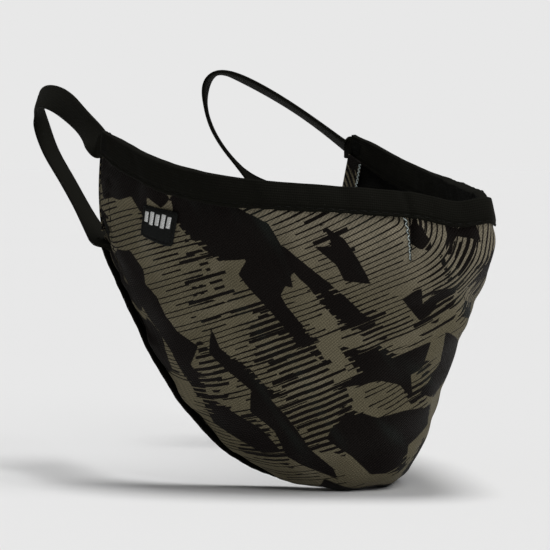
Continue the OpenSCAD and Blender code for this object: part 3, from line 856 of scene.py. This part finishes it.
def top_tape_place(a, b):
    w = even_columns(a)
    inset, off = fold_section(1 - b)
    inset = inset + tape_wave(w) * smooth(WAVE_FROM, TAPE_WIDTH, inset)
    v = share_down(w, np.maximum(inset, 0))
    end = smooth(TAPE_END_FROM, 1.0, abs(w))
    points = on_cup(w, v, off * (1 - TAPE_END_THINNING * end), TAPE_UNEVEN)
    past = np.minimum(inset, 0) * (1 - end) + TAPE_END_PAST * end * (1 - inset / TAPE_WIDTH)
    points += past[:, None] * unit(cup_down(w, 0))
    x = read_flat(flat_across, w, 0 * w)
    return points, {"cloth_place": np.stack([x, inset, off], -1)}


def bottom_tape_place(a, b):
    w = even_columns(a)
    inset, off = fold_section(1 - b)
    inset = inset + tape_wave(w) * smooth(WAVE_FROM, TAPE_WIDTH, inset)
    points = on_strip(w, STRIP_LENGTH - inset, off, TAPE_UNEVEN)
    x = read_flat(flat_across, w, 1 + 0 * w)
    return points, {"cloth_place": np.stack([x, inset, off], -1)}


def tape_finish(name, black, grey):
    f = Finish(name, roughness=0.8, sheen=0.015, sheen_tint=(0.8, 0.8, 0.7), specular=0.05)
    x, y, _ = f.parts(f.attribute("cloth_place"))
    flat = f.vector(x, y)
    ribs = (y * (2 * pi / RIB_PITCH)).maths("SINE") * 0.5 + 0.5
    picks = (x * (2 * pi / PICK_PITCH)).maths("SINE") * 0.5 + 0.5
    fuzz = f.noise(flat, 1500.0, 3.0)
    specks = f.noise(flat, 620.0, 1.0).step(0.72, 0.80)
    shade = (ribs * 0.25 + picks * 0.25 + fuzz * 0.5).clipped()
    colour = f.mix(shade, black, grey)
    f.feed("Base Color", f.mix(specks * 0.25, colour, (0.03, 0.03, 0.027)))
    f.feed("Roughness", 0.72 + fuzz * 0.18)
    f.bump(ribs * 0.3 + picks * 0.3 + fuzz * 0.5, 0.18 * MM, 0.8)
    return f.material


EDGE_TAPE = tape_finish("edge_tape", TAPE_BLACK, TAPE_GREY)
for word, place, node in (("top_tape", top_tape_place, "top_binding"),
                          ("bottom_tape", bottom_tape_place, "bottom_binding")):
    tape = laid(word, 300, 64, place, flip=word == "top_tape")
    thicken(tape, TAPE_PLY * TAPE_PLY_SHARE)
    tape.data.materials.append(EDGE_TAPE)
    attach(tape, "mask")
    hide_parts(node)

# ---------------------------------------------------------------------------
# Ear loops.  Each is a soft elastic tape folded along its length and stitched shut, its
# two ends sewn in behind the side edge.  Each relaxes in its own way.
# ---------------------------------------------------------------------------
UPPER_ANCHOR_ROW = 0.12
LOWER_ANCHOR_ROW = 0.86
LOOP_STAND_OFF = 1.5 * MM
# each loop's middle line, in millimetres from the middle of its two sewn ends, drawn as
# on the left side, and the way its flat face looks along it
LOOP_PATHS = {
    -1: [(-4.9, 11.2, 18.7), (-8.3, 26.6, 27.1), (-14.4, 43.4, 28.7), (-22.4, 53.3, 24.5),
         (-23.7, 49.5, 11.2), (-20.5, 37.4, 1.9), (-14.6, 20.9, -9.3)],
    1: [(-5, 16.5, 25.6), (-15, 36, 37.7), (-18.3, 44.9, 39.3), (-18.5, 49.4, 32),
        (-17.3, 47.6, 18.5), (-13.6, 36, 3.7), (-8.5, 20.4, -6.4)],
}
LOOP_FACES = {
    -1: [(-0.82, -0.27, 0.69), (0.32, -0.31, 0.94), (-0.37, -0.72, 0.71), (-0.18, -0.49, 0.77),
         (-0.07, 0.13, 0.98), (-0.97, 0.44, 0.26), (-1.1, 0.25, -0.03), (-0.9, 0.45, 0),
         (-0.8, 0.6, 0.1)],
    1: [(-0.6, -0.3, 0.45), (-1, -0.6, 0.4), (-0.73, -0.69, 0.33), (-0.85, -0.56, -0.15),
        (-0.85, -0.45, 0.25), (-0.51, -0.86, -0.57), (-0.59, -0.72, 0.05), (-0.39, -0.15, -0.97),
        (0, 0, -1)],
}


def spline(points, t):
    points = np.asarray(points, float)
    n = len(points)
    k = np.minimum((t * (n + 1)).astype(int), n)
    f = (t * (n + 1) - k)[:, None]
    weights = ((1 - f) ** 3 / 6, (3 * f ** 3 - 6 * f ** 2 + 4) / 6,
               (-3 * f ** 3 + 3 * f ** 2 + 3 * f + 1) / 6, f ** 3 / 6)
    return sum(weights[i] * points[np.clip(k - 2 + i, 0, n - 1)] for i in range(4))


def dot(a, b):
    return (a * b).sum(-1, keepdims=True)


upper_anchor = cup_point(-1, UPPER_ANCHOR_ROW) * (-1, 1, 1) + (0, LOOP_STAND_OFF, 0)
lower_anchor = cup_point(-1, LOWER_ANCHOR_ROW) * (-1, 1, 1) + (0, LOOP_STAND_OFF, 0)
anchor_middle = (upper_anchor + lower_anchor) / 2
swing_line = unit(upper_anchor - lower_anchor)
SECTION_POINTS = 28
LOOP_STATIONS = 260
SLOPE_STEP = 0.01
# how fast the upper and the lower end turn from the sewn line into the free loop
SEWN_TURNS = {-1: (8.5, 40), 1: (34, 34)}
LOWER_TURN = {-1: 1, 1: -1}
LOOP_LENGTH = 150 * MM
ROOT_REACH = 12 * MM
ROOT_THICKNESS = 1.45 * MM
UPPER_ROOT_IN = 0.5 * MM
UPPER_ROOT_LIFT = {-1: 0.2 * MM, 1: 1.0 * MM}
LOWER_REACH = 17 * MM
LOWER_ROOT_IN = 2.2 * MM
LOWER_DIP = {-1: np.array([0.0, -3.4, -7.6]) * MM, 1: np.array([0.0, -0.5, -2.9]) * MM}
END_TUCK = 3.2 * MM
END_TUCK_SHARE = 0.012
# the width of the loop, as shares of the tape's width, and how far its section is squared
ROOT_WIDTH, FREE_WIDENING, ROOT_WIDENING, LOWER_GATHER = 0.94, 0.06, 0.13, 0.58
LOOP_PLY_SHARE = 0.9
LOWER_THINNING = 0.3
WIDE_SQUARING, THICK_SQUARING = 0.55, 0.50
# the sewn furrow on each face: which face, how far across the tape, and how deep
LOOP_FURROWS = [(1, 0.62, 0.20), (-1, -0.66, 0.16)]
LOOP_FURROW_WIDTH = 0.10


def loop_place(side):
    path = [upper_anchor, *(anchor_middle + np.array(p) * MM for p in LOOP_PATHS[side]),
            lower_anchor]

    def place(t, b):
        centre = spline(path, t)
        run = unit(spline(path, np.minimum(t + SLOPE_STEP, 1))
                   - spline(path, np.maximum(t - SLOPE_STEP, 0)))
        face = spline(LOOP_FACES[side], t)
        square = unit(face - dot(face, run) * run)
        turns = np.where(t < 0.5, *SEWN_TURNS[side])
        sewn = np.maximum(0, 1 - turns * np.minimum(t, 1 - t))[:, None]
        held = np.where((t < 0.5)[:, None], swing_line, LOWER_TURN[side] * swing_line)
        wide = unit(sewn * held + (1 - sewn) * square)
        run = unit(run - dot(run, wide) * wide)
        thick = np.cross(run, wide)
        upper = 1 - smooth(0, ROOT_REACH, t * LOOP_LENGTH)
        lower = 1 - smooth(0, ROOT_REACH, (1 - t) * LOOP_LENGTH)
        gathered = 1 - smooth(0, LOWER_REACH, (1 - t) * LOOP_LENGTH)
        centre = centre - (upper * UPPER_ROOT_IN)[:, None] * cup_normal(1, UPPER_ANCHOR_ROW)
        centre = centre - (lower * LOWER_ROOT_IN)[:, None] * cup_normal(1, LOWER_ANCHOR_ROW)
        centre = centre + smooth(0.66, 0.98, t)[:, None] * LOWER_DIP[side]
        tuck = np.maximum(0, 1 - np.minimum(t, 1 - t) / END_TUCK_SHARE)[:, None]
        centre = centre - tuck * np.array([0, END_TUCK, 0])
        shown = upper * smooth(0.008, 0.040, t)
        centre = centre + (shown * UPPER_ROOT_LIFT[side])[:, None] * swing_line
        half_width = TAPE_WIDTH / 2 * (ROOT_WIDTH + FREE_WIDENING * (1 - upper)
                                       + ROOT_WIDENING * shown - LOWER_GATHER * gathered)
        half_thick = TAPE_PLY * LOOP_PLY_SHARE * (1 - upper) + ROOT_THICKNESS * upper
        half_thick = half_thick * (1 - LOWER_THINNING * lower)
        angle = 2 * pi * b
        c, s = np.cos(angle), np.sin(angle)
        across = np.sign(c) * abs(c) ** WIDE_SQUARING
        up = np.sign(s) * abs(s) ** THICK_SQUARING
        up = up * (1 - sum(
            depth * np.exp(-((across - at) / LOOP_FURROW_WIDTH) ** 2) * (up * facing > 0)
            for facing, at, depth in LOOP_FURROWS))
        points = (centre + (half_width * across)[:, None] * wide
                  + (half_thick * up)[:, None] * thick)
        points[:, 0] *= side
        notes = np.stack([t * LOOP_LENGTH, half_width * across, up * half_thick], -1)
        return points, {"cloth_place": notes}
    return place


LOOP_TAPE = tape_finish("loop_tape", TAPE_BLACK, TAPE_GREY)
SWING_START = 1.5 * MM
SWING_END = 7 * MM
for side, word in ((-1, "right"), (1, "left")):
    loop = laid("ear_loop_tape_" + word, LOOP_STATIONS, SECTION_POINTS, loop_place(side),
                tube=True)
    loop.data.materials.append(LOOP_TAPE)
    hinge = anchor_middle * (side, 1, 1)
    tuple(hinge - (0, SWING_START, 0))
    tuple(hinge + (0, SWING_END, 0))
    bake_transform(loop)
    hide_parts("ear_loop_" + word)

# ---------------------------------------------------------------------------
# Side label.  A small black woven tag is sewn flat on the right cheek, just under the
# top tape, with a raised mark of five plain upright bars in white thread.
# ---------------------------------------------------------------------------
LABEL_W = -0.815
LABEL_V = 0.385
LABEL_LEAN = radians(14)
LABEL_LENGTH = 12.5 * MM
LABEL_HEIGHT = 10.5 * MM
LABEL_THICKNESS = 0.7 * MM
LABEL_LIFT = 0.15 * MM
LABEL_UNEVEN = 0.5
LABEL_WALL_SHARE = 0.4
LABEL_WARP = 0.42 * MM
LABEL_WEFT = 0.36 * MM
LABEL_BLACK = (0.0016, 0.0020, 0.0018)
LABEL_GREY = (0.0085, 0.0098, 0.0090)
CORNER_DRAW = 0.07
EDGE_ROLL = 0.10
ROLL_START = 0.35
LABEL_SEWN_AT = 0.86
LABEL_SEWN_WIDTH = 0.035
LABEL_SEWN_DEPTH = 0.18 * MM

label_out = cup_normal(LABEL_W, LABEL_V)
label_level = unit(np.cross(label_out, (0, 0, 1)))
label_back = cos(LABEL_LEAN) * label_level - sin(LABEL_LEAN) * np.cross(label_out, label_level)
label_up = np.cross(label_back, label_out)
label_slopes = np.array([
    [cup_across(LABEL_W, LABEL_V) @ label_back, cup_down(LABEL_W, LABEL_V) @ label_back],
    [cup_across(LABEL_W, LABEL_V) @ label_up, cup_down(LABEL_W, LABEL_V) @ label_up],
])


def on_label(a, b, off):
    """A place on the tag: a and b are shares of its length and height from its middle."""
    size = np.stack([a * LABEL_LENGTH, b * LABEL_HEIGHT], 0)
    dw, dv = np.linalg.solve(label_slopes, size)
    return on_cup(LABEL_W + dw, LABEL_V + dv, off, LABEL_UNEVEN)


def label_place(a, b):
    x, y = 2 * a - 1, 1 - 2 * b
    # soft rounded corners and a rolled edge
    draw = 1 - CORNER_DRAW * abs(x) ** 6 * abs(y) ** 6
    edge = np.maximum(abs(x), abs(y))
    roll = np.sqrt(np.clip((1 - edge) / EDGE_ROLL, 0, 1))
    sewn = np.exp(-((edge - LABEL_SEWN_AT) / LABEL_SEWN_WIDTH) ** 2)
    height = LABEL_THICKNESS * (ROLL_START + (1 - ROLL_START) * roll)
    off = LABEL_LIFT + height - LABEL_SEWN_DEPTH * sewn
    points = on_label(0.5 * x * draw, 0.5 * y * draw, off)
    return points, {"cloth_place": np.stack([x * LABEL_LENGTH / 2, y * LABEL_HEIGHT / 2, off], -1)}


def label_finish():
    f = Finish("label_weave", roughness=0.7, sheen=0.02, specular=0.12)
    x, y, _ = f.parts(f.attribute("cloth_place"))
    warp = (x * (2 * pi / LABEL_WARP)).maths("SINE")
    weft = (y * (2 * pi / LABEL_WEFT)).maths("SINE")
    cloth = warp * weft * 0.5 + 0.5
    fuzz = f.noise(f.vector(x, y), 1900.0, 2.0)
    shade = (cloth * 0.6 + fuzz * 0.4).clipped()
    f.feed("Base Color", f.mix(shade, LABEL_BLACK, LABEL_GREY))
    f.feed("Roughness", 0.6 + fuzz * 0.2)
    f.bump(cloth * 0.6 + fuzz * 0.4, 0.18 * MM, 0.9)
    return f.material


label = laid("side_label_cloth", 56, 48, label_place)
thicken(label, LABEL_THICKNESS * LABEL_WALL_SHARE)
label.data.materials.append(label_finish())
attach(label, "mask")
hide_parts("side_label")

# The mark: upright bars of satin stitch, rounded over like thread, each given as the
# middle, bottom, width and height in shares of the tag.
MARK_BARS = [(-0.30, -0.02, 0.115, 0.34), (-0.14, -0.06, 0.115, 0.42), (0.02, -0.02, 0.115, 0.34),
             (0.18, -0.06, 0.115, 0.42), (0.34, -0.02, 0.115, 0.34)]
MARK_HEIGHT = 0.30 * MM
MARK_SINK = 0.05 * MM
MARK_WALL = 0.12 * MM
STRAND_RIDGE = 0.05 * MM
STRANDS_A_BAR = 14
label_top = LABEL_LIFT + LABEL_THICKNESS


def thread_finish(name, dark, light, sheen=0.3):
    f = Finish(name, roughness=0.6, sheen=sheen, specular=0.1)
    place = f.object_place()
    fuzz = f.noise(place, 2400.0, 2.0)
    strands = f.node("ShaderNodeTexWave", {"wave_type": "BANDS", "bands_direction": "DIAGONAL"},
                     {"Vector": place, "Scale": 1100.0, "Distortion": 2.0, "Detail": 1.0})
    f.feed("Base Color", f.mix((strands * 0.5 + fuzz * 0.5).clipped(), dark, light))
    f.feed("Roughness", 0.45 + fuzz * 0.3)
    f.bump(strands * 0.6 + fuzz * 0.4, 0.08 * MM, 0.8)
    return f.material


MARK_THREAD = thread_finish("mark_thread", (0.42, 0.43, 0.42), (0.85, 0.86, 0.85))
mark_mesh = bmesh.new()
for across, bottom, wide, high in MARK_BARS:
    bar = bmesh.ops.create_grid(mark_mesh, x_segments=12, y_segments=36, size=0.5)["verts"]
    shares = np.array([vert.co[:2] for vert in bar]) + 0.5
    hump = np.sin(shares[:, 0] * pi) ** 0.5 * np.clip(np.sin(shares[:, 1] * pi) * 4, 0, 1)
    ridge = STRAND_RIDGE * np.sin(shares[:, 1] * STRANDS_A_BAR * 2 * pi) * hump
    points = on_label(across + wide * (shares[:, 0] - 0.5), bottom + high * (1 - shares[:, 1]),
                      label_top - MARK_SINK + MARK_HEIGHT * hump + ridge)
    for vert, point in zip(bar, points):
        vert.co = point
mark = finished("label_mark_bars", mark_mesh)
for face in mark.data.polygons:
    face.use_smooth = True
thicken(mark, MARK_WALL)
mark.data.materials.append(MARK_THREAD)
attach(mark, "mask")
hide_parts("label_mark")

# ---------------------------------------------------------------------------
# Stitches.  Each is one spindle of thread, pointed where it goes into the cloth.  Dark
# thread holds the tapes, hems, tacks and tag; a thick dark teal thread closes the nose darts
# and also stands for the painted shadow in each dart's crease; light thread runs in a zigzag
# over each dart and over the raw edge of each hem.
# ---------------------------------------------------------------------------
DARK_THREAD = thread_finish("dark_thread", (0.0022, 0.0022, 0.0016), (0.0085, 0.0085, 0.0062),
                            0.0)
LIGHT_THREAD = thread_finish("light_thread", (0.26, 0.31, 0.30), (0.52, 0.58, 0.56))
# painted shade: the dark teal seam thread, drawn thick, also stands for the shadow in each dart's
# crease
SEAM_THREAD_AND_SHADOW = thread_finish("seam_thread_and_shadow", (0.004, 0.006, 0.006), (0.018, 0.028, 0.028), 0.05)
THREAD_RADIUS = 0.15 * MM
EDGING_RADIUS = 0.19 * MM
SEAM_AND_SHADOW_RADIUS = 0.34 * MM
ZIGZAG_RADIUS = 0.17 * MM


def sew(name, stitches, node, finish, radius=THREAD_RADIUS):
    mesh = bmesh.new()
    for p, q in stitches:
        run = Vector(q) - Vector(p)
        turn = run.to_track_quat("Z", "Y").to_matrix().to_4x4()
        size = Matrix.Diagonal((radius, radius, run.length / 2, 1))
        middle = Matrix.Translation((Vector(p) + Vector(q)) / 2)
        bmesh.ops.create_uvsphere(mesh, u_segments=8, v_segments=7, radius=1,
                                  matrix=middle @ turn @ size)
    for face in mesh.faces:
        face.smooth = True
    thread = finished(name, mesh)
    thread.data.materials.append(finish)
    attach(thread, "mask")
    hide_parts(node)


def spaced(place, start, length, pitch):
    """Pairs of points along a line on the cloth, one stitch and then a gap."""
    a = np.linspace(0, 1, 1500)
    line = place(a)
    run = np.concatenate([[0], np.cumsum(np.linalg.norm(np.diff(line, axis=0), axis=1))])
    heads = np.arange(start, run[-1] - start - length, pitch)
    at = [np.stack([np.interp(s, run, line[:, k]) for k in range(3)], -1)
          for s in (heads, heads + length)]
    return list(zip(*at))


def between(ends, t):
    return ends[0] + (ends[1] - ends[0]) * t


def column_in(side, v, inset):
    """The net column that lies inset from a side edge, at one row."""
    return side * (1 - share_in(np.array(float(side)), np.array(v), inset))


TAPE_START = 6 * MM
TAPE_STITCH = 2.4 * MM
TAPE_PITCH = 3.2 * MM
SUNK = 0.12 * MM
tape_line = TAPE_WIDTH - STITCH_INSET


def top_line(a):
    w = even_columns(a)
    return on_cup(w, share_down(w, tape_line), TAPE_OUTSIDE - SUNK, TAPE_UNEVEN)


def bottom_line(a):
    return on_strip(even_columns(a), STRIP_LENGTH - tape_line, TAPE_OUTSIDE - SUNK, TAPE_UNEVEN)


for word, line in (("top", top_line), ("bottom", bottom_line)):
    sew(word + "_tape_thread", spaced(line, TAPE_START, TAPE_STITCH, TAPE_PITCH),
        word + "_binding_stitches", DARK_THREAD)

HEM_LINE_ROWS = (0.33, 0.95)
HEM_LINE_START = 0.2 * MM
HEM_STITCH = 2.3 * MM
HEM_PITCH = 3.0 * MM
HEM_LINE_OFF = 0.10 * MM
EDGING_STITCHES = 44
EDGING_ROWS = (0.21, 0.95)
EDGING_INSETS = (6.3 * MM, 5.2 * MM)
EDGING_OFF = HEM_FAR - 0.62 * MM


def hem_line(side):
    def line(a):
        v = between(HEM_LINE_ROWS, a)
        w = side * (1 - share_in(side + 0 * v, v, HEM_STITCH_INSET))
        return on_cup(w, v, HEM_LINE_OFF)
    return spaced(line, HEM_LINE_START, HEM_STITCH, HEM_PITCH)


def hem_edging(side):
    corners = []
    for k in range(EDGING_STITCHES + 1):
        v = between(EDGING_ROWS, k / EDGING_STITCHES)
        corners.append(on_cup(column_in(side, v, EDGING_INSETS[k % 2]), v, EDGING_OFF,
                              HEM_UNEVEN))
    return list(zip(corners, corners[1:]))


# the dart seam and its zigzag, from net place to net place; the seam is drawn as a thick dark teal
# thread that also stands for the painted shadow in the dart's crease
SEAM_STITCHES = 14
SEAM_COLUMNS = (0.294, 0.261)
SEAM_ROWS = (0.070, 0.192)
SEAM_SHIFT = 0.002
SEAM_OFF = 0.22 * MM
SEAM_FILL = 0.97
ZIGZAG_STITCHES = 13
ZIGZAG_COLUMNS = (0.294, 0.262)
ZIGZAG_ROWS = (0.068, 0.188)
ZIGZAG_SWAY = 0.0042
ZIGZAG_FILL = 0.95
ZIGZAG_OFFS = (0.62 * MM, 0.36 * MM, 0.62 * MM)


# painted shade: these thick dark seam stitches also stand for the shadow in the dart's crease
def seam_stitches_and_shadow(side):
    seam = []
    for k in range(SEAM_STITCHES):
        shares = (k / SEAM_STITCHES, (k + SEAM_FILL) / SEAM_STITCHES)
        seam.append([on_cup(side * (between(SEAM_COLUMNS, t) - SEAM_SHIFT),
                            between(SEAM_ROWS, t), SEAM_OFF) for t in shares])
    return seam


def dart_zigzag(side):
    zigzag = []
    for k in range(ZIGZAG_STITCHES):
        sway = ZIGZAG_SWAY if k % 2 else -ZIGZAG_SWAY
        stitch = []
        for t, lean in ((k / ZIGZAG_STITCHES, -sway),
                        ((k + ZIGZAG_FILL) / ZIGZAG_STITCHES, sway)):
            w = side * (between(ZIGZAG_COLUMNS, t) + lean * (1.1 - t))
            stitch.append(on_cup(w, between(ZIGZAG_ROWS, t), ZIGZAG_OFFS[k % 3]))
        zigzag.append(stitch)
    return zigzag


# the bar tacks: eight close stitches side by side, through tape and loop end
TACK_STITCHES = 8
TACK_INSET = 1.0
UPPER_TACK_ROW = 0.1
UPPER_TACK_PITCH = 0.45
UPPER_TACK_ENDS = (1.4, 6.6)
LOWER_TACK_ROW = 0.8
LOWER_TACK_PITCH = 0.35
LOWER_TACK_ENDS = (0.74, 0.92)
LOWER_TACK_OFF = 0.16 * MM


def upper_tack(side):
    tack = []
    for k in range(TACK_STITCHES):
        w = column_in(side, UPPER_TACK_ROW, (TACK_INSET + UPPER_TACK_PITCH * k) * MM)
        for off in (TAPE_OUTSIDE + SUNK, -TAPE_INSIDE - SUNK):
            tack.append([on_cup(w, share_down(w, b * MM), off, TAPE_UNEVEN)
                         for b in UPPER_TACK_ENDS])
    return tack


def lower_tack(side):
    tack = []
    for k in range(TACK_STITCHES):
        w = column_in(side, LOWER_TACK_ROW, (TACK_INSET + LOWER_TACK_PITCH * k) * MM)
        tack.append([on_cup(w, v, LOWER_TACK_OFF) for v in LOWER_TACK_ENDS])
    return tack


for side, word in ((-1, "right"), (1, "left")):
    sew("side_hem_thread_" + word, hem_line(side), "side_hem_stitches_" + word, DARK_THREAD)
    sew("side_hem_edging_" + word, hem_edging(side), "side_hem_stitches_" + word, LIGHT_THREAD,
        EDGING_RADIUS)
    # painted shade: the thick dark seam thread along each dart also stands for the crease's shadow
    sew("nose_dart_shadow_and_seam_" + word, seam_stitches_and_shadow(side), "nose_dart_stitches_" + word, SEAM_THREAD_AND_SHADOW,
        SEAM_AND_SHADOW_RADIUS)
    sew("nose_dart_thread_" + word, dart_zigzag(side), "nose_dart_stitches_" + word,
        LIGHT_THREAD, ZIGZAG_RADIUS)
    sew("upper_tack_thread_" + word, upper_tack(side), "upper_bartack_" + word, DARK_THREAD)
    sew("lower_tack_thread_" + word, lower_tack(side), "lower_bartack_" + word, DARK_THREAD)

# the tack under the chin where the two ends of the bottom tape meet
JOIN_SPREAD = 0.05
JOIN_ENDS = (1.0, 6.5)
join = []
for k in range(TACK_STITCHES):
    w = JOIN_SPREAD * (k / (TACK_STITCHES - 1) - 0.5)
    join.append([on_strip(w, STRIP_LENGTH - b * MM, TAPE_OUTSIDE + SUNK, TAPE_UNEVEN)
                 for b in JOIN_ENDS])
sew("tape_join_thread", join, "binding_join_bartack", DARK_THREAD)

# the stitches round the tag, seven to a side
LABEL_STITCHES = 7
LABEL_SEAM = 0.43
LABEL_STITCH_SHARES = (0.1, 0.8)
LABEL_THREAD_SINK = 0.04 * MM
label_sewing = []
for k in range(LABEL_STITCHES):
    a, b = [LABEL_SEAM - 2 * LABEL_SEAM * (k + share) / LABEL_STITCHES
            for share in LABEL_STITCH_SHARES]
    for edge in (-LABEL_SEAM, LABEL_SEAM):
        for ends in (((a, edge), (b, edge)), ((edge, a), (edge, b))):
            label_sewing.append([on_label(*p, label_top - LABEL_THREAD_SINK) for p in ends])
sew("label_thread", label_sewing, "label_stitches", DARK_THREAD)

# ---------------------------------------------------------------------------
# Table, backdrop, light and camera.
# ---------------------------------------------------------------------------
FLOOR_DROP = 1.0 * MM
FLOOR_SIZE = 60
STUDIO_WHITE = 0.807
STUDIO_FILL = 0.08
VIEW_ANGLE = radians(-48.09)
look = Vector((-sin(VIEW_ANGLE), cos(VIEW_ANGLE), 0))
side_way = Vector((cos(VIEW_ANGLE), sin(VIEW_ANGLE), 0))
floor_mesh = bmesh.new()
bmesh.ops.create_grid(floor_mesh, x_segments=8, y_segments=8, size=FLOOR_SIZE / 2)
bmesh.ops.translate(floor_mesh, verts=floor_mesh.verts, vec=(0, 0, cad_box[0][2] - FLOOR_DROP))
floor = finished("floor", floor_mesh)
paper = Finish("pale_paper", roughness=1.0, specular=0.0)
grain = paper.noise(paper.object_place(), 3.0, 2.0)
paper.feed("Base Color", paper.mix(grain, (0.795, 0.795, 0.795), (0.805, 0.805, 0.805)))
floor.data.materials.append(paper.material)

world = bpy.data.worlds.new("studio")
bpy.context.scene.world = world
world.use_nodes = True
air = world.node_tree.nodes["Background"]
air.inputs["Color"].default_value = (1, 1, 1, 1)
seen = world.node_tree.nodes.new("ShaderNodeLightPath")
brightness = world.node_tree.nodes.new("ShaderNodeMix")
share, fill, backdrop, result = MIX_NUMBERS
brightness.inputs[fill].default_value = STUDIO_FILL
brightness.inputs[backdrop].default_value = STUDIO_WHITE
world.node_tree.links.new(seen.outputs["Is Camera Ray"], brightness.inputs[share])
world.node_tree.links.new(brightness.outputs[result], air.inputs["Strength"])
bpy.context.scene.view_settings.view_transform = "Standard"


def lamp(name, place, aim, power, spread):
    light = bpy.data.lights.new(name, "SUN")
    light.energy = power
    light.angle = spread
    stand = bpy.data.objects.new(name, light)
    stand.location = place
    stand.rotation_euler = (Vector(aim) - Vector(place)).to_track_quat("-Z", "Y").to_euler()
    bpy.context.scene.collection.objects.link(stand)


lit = Vector((0, -0.04, -0.03))
lamp("soft_sky", lit + Vector((0, 0, 1)) - look * 0.10 + side_way * 0.10, lit,
     1.86, radians(18))
lamp("front_key", lit - look * 0.66 + side_way * 0.75 + Vector((0, 0, 1.1)), lit,
     1.45, radians(48))

CAMERA_DISTANCE = 0.7
CAMERA_RISE = radians(2.93)
CAMERA_AIM = Vector((0, -0.01984, -0.02972))
LENS = 141.98
SENSOR = 36
camera = bpy.data.cameras.new("camera")
camera.lens = LENS
camera.sensor_width = SENSOR
holder = bpy.data.objects.new("camera", camera)
flat_toward = -look * cos(CAMERA_RISE)
toward = Vector((flat_toward.x, flat_toward.y, sin(CAMERA_RISE)))
holder.location = CAMERA_AIM + toward * CAMERA_DISTANCE
holder.rotation_euler = (-toward).to_track_quat("-Z", "Y").to_euler()
bpy.context.scene.collection.objects.link(holder)
bpy.context.scene.camera = holder
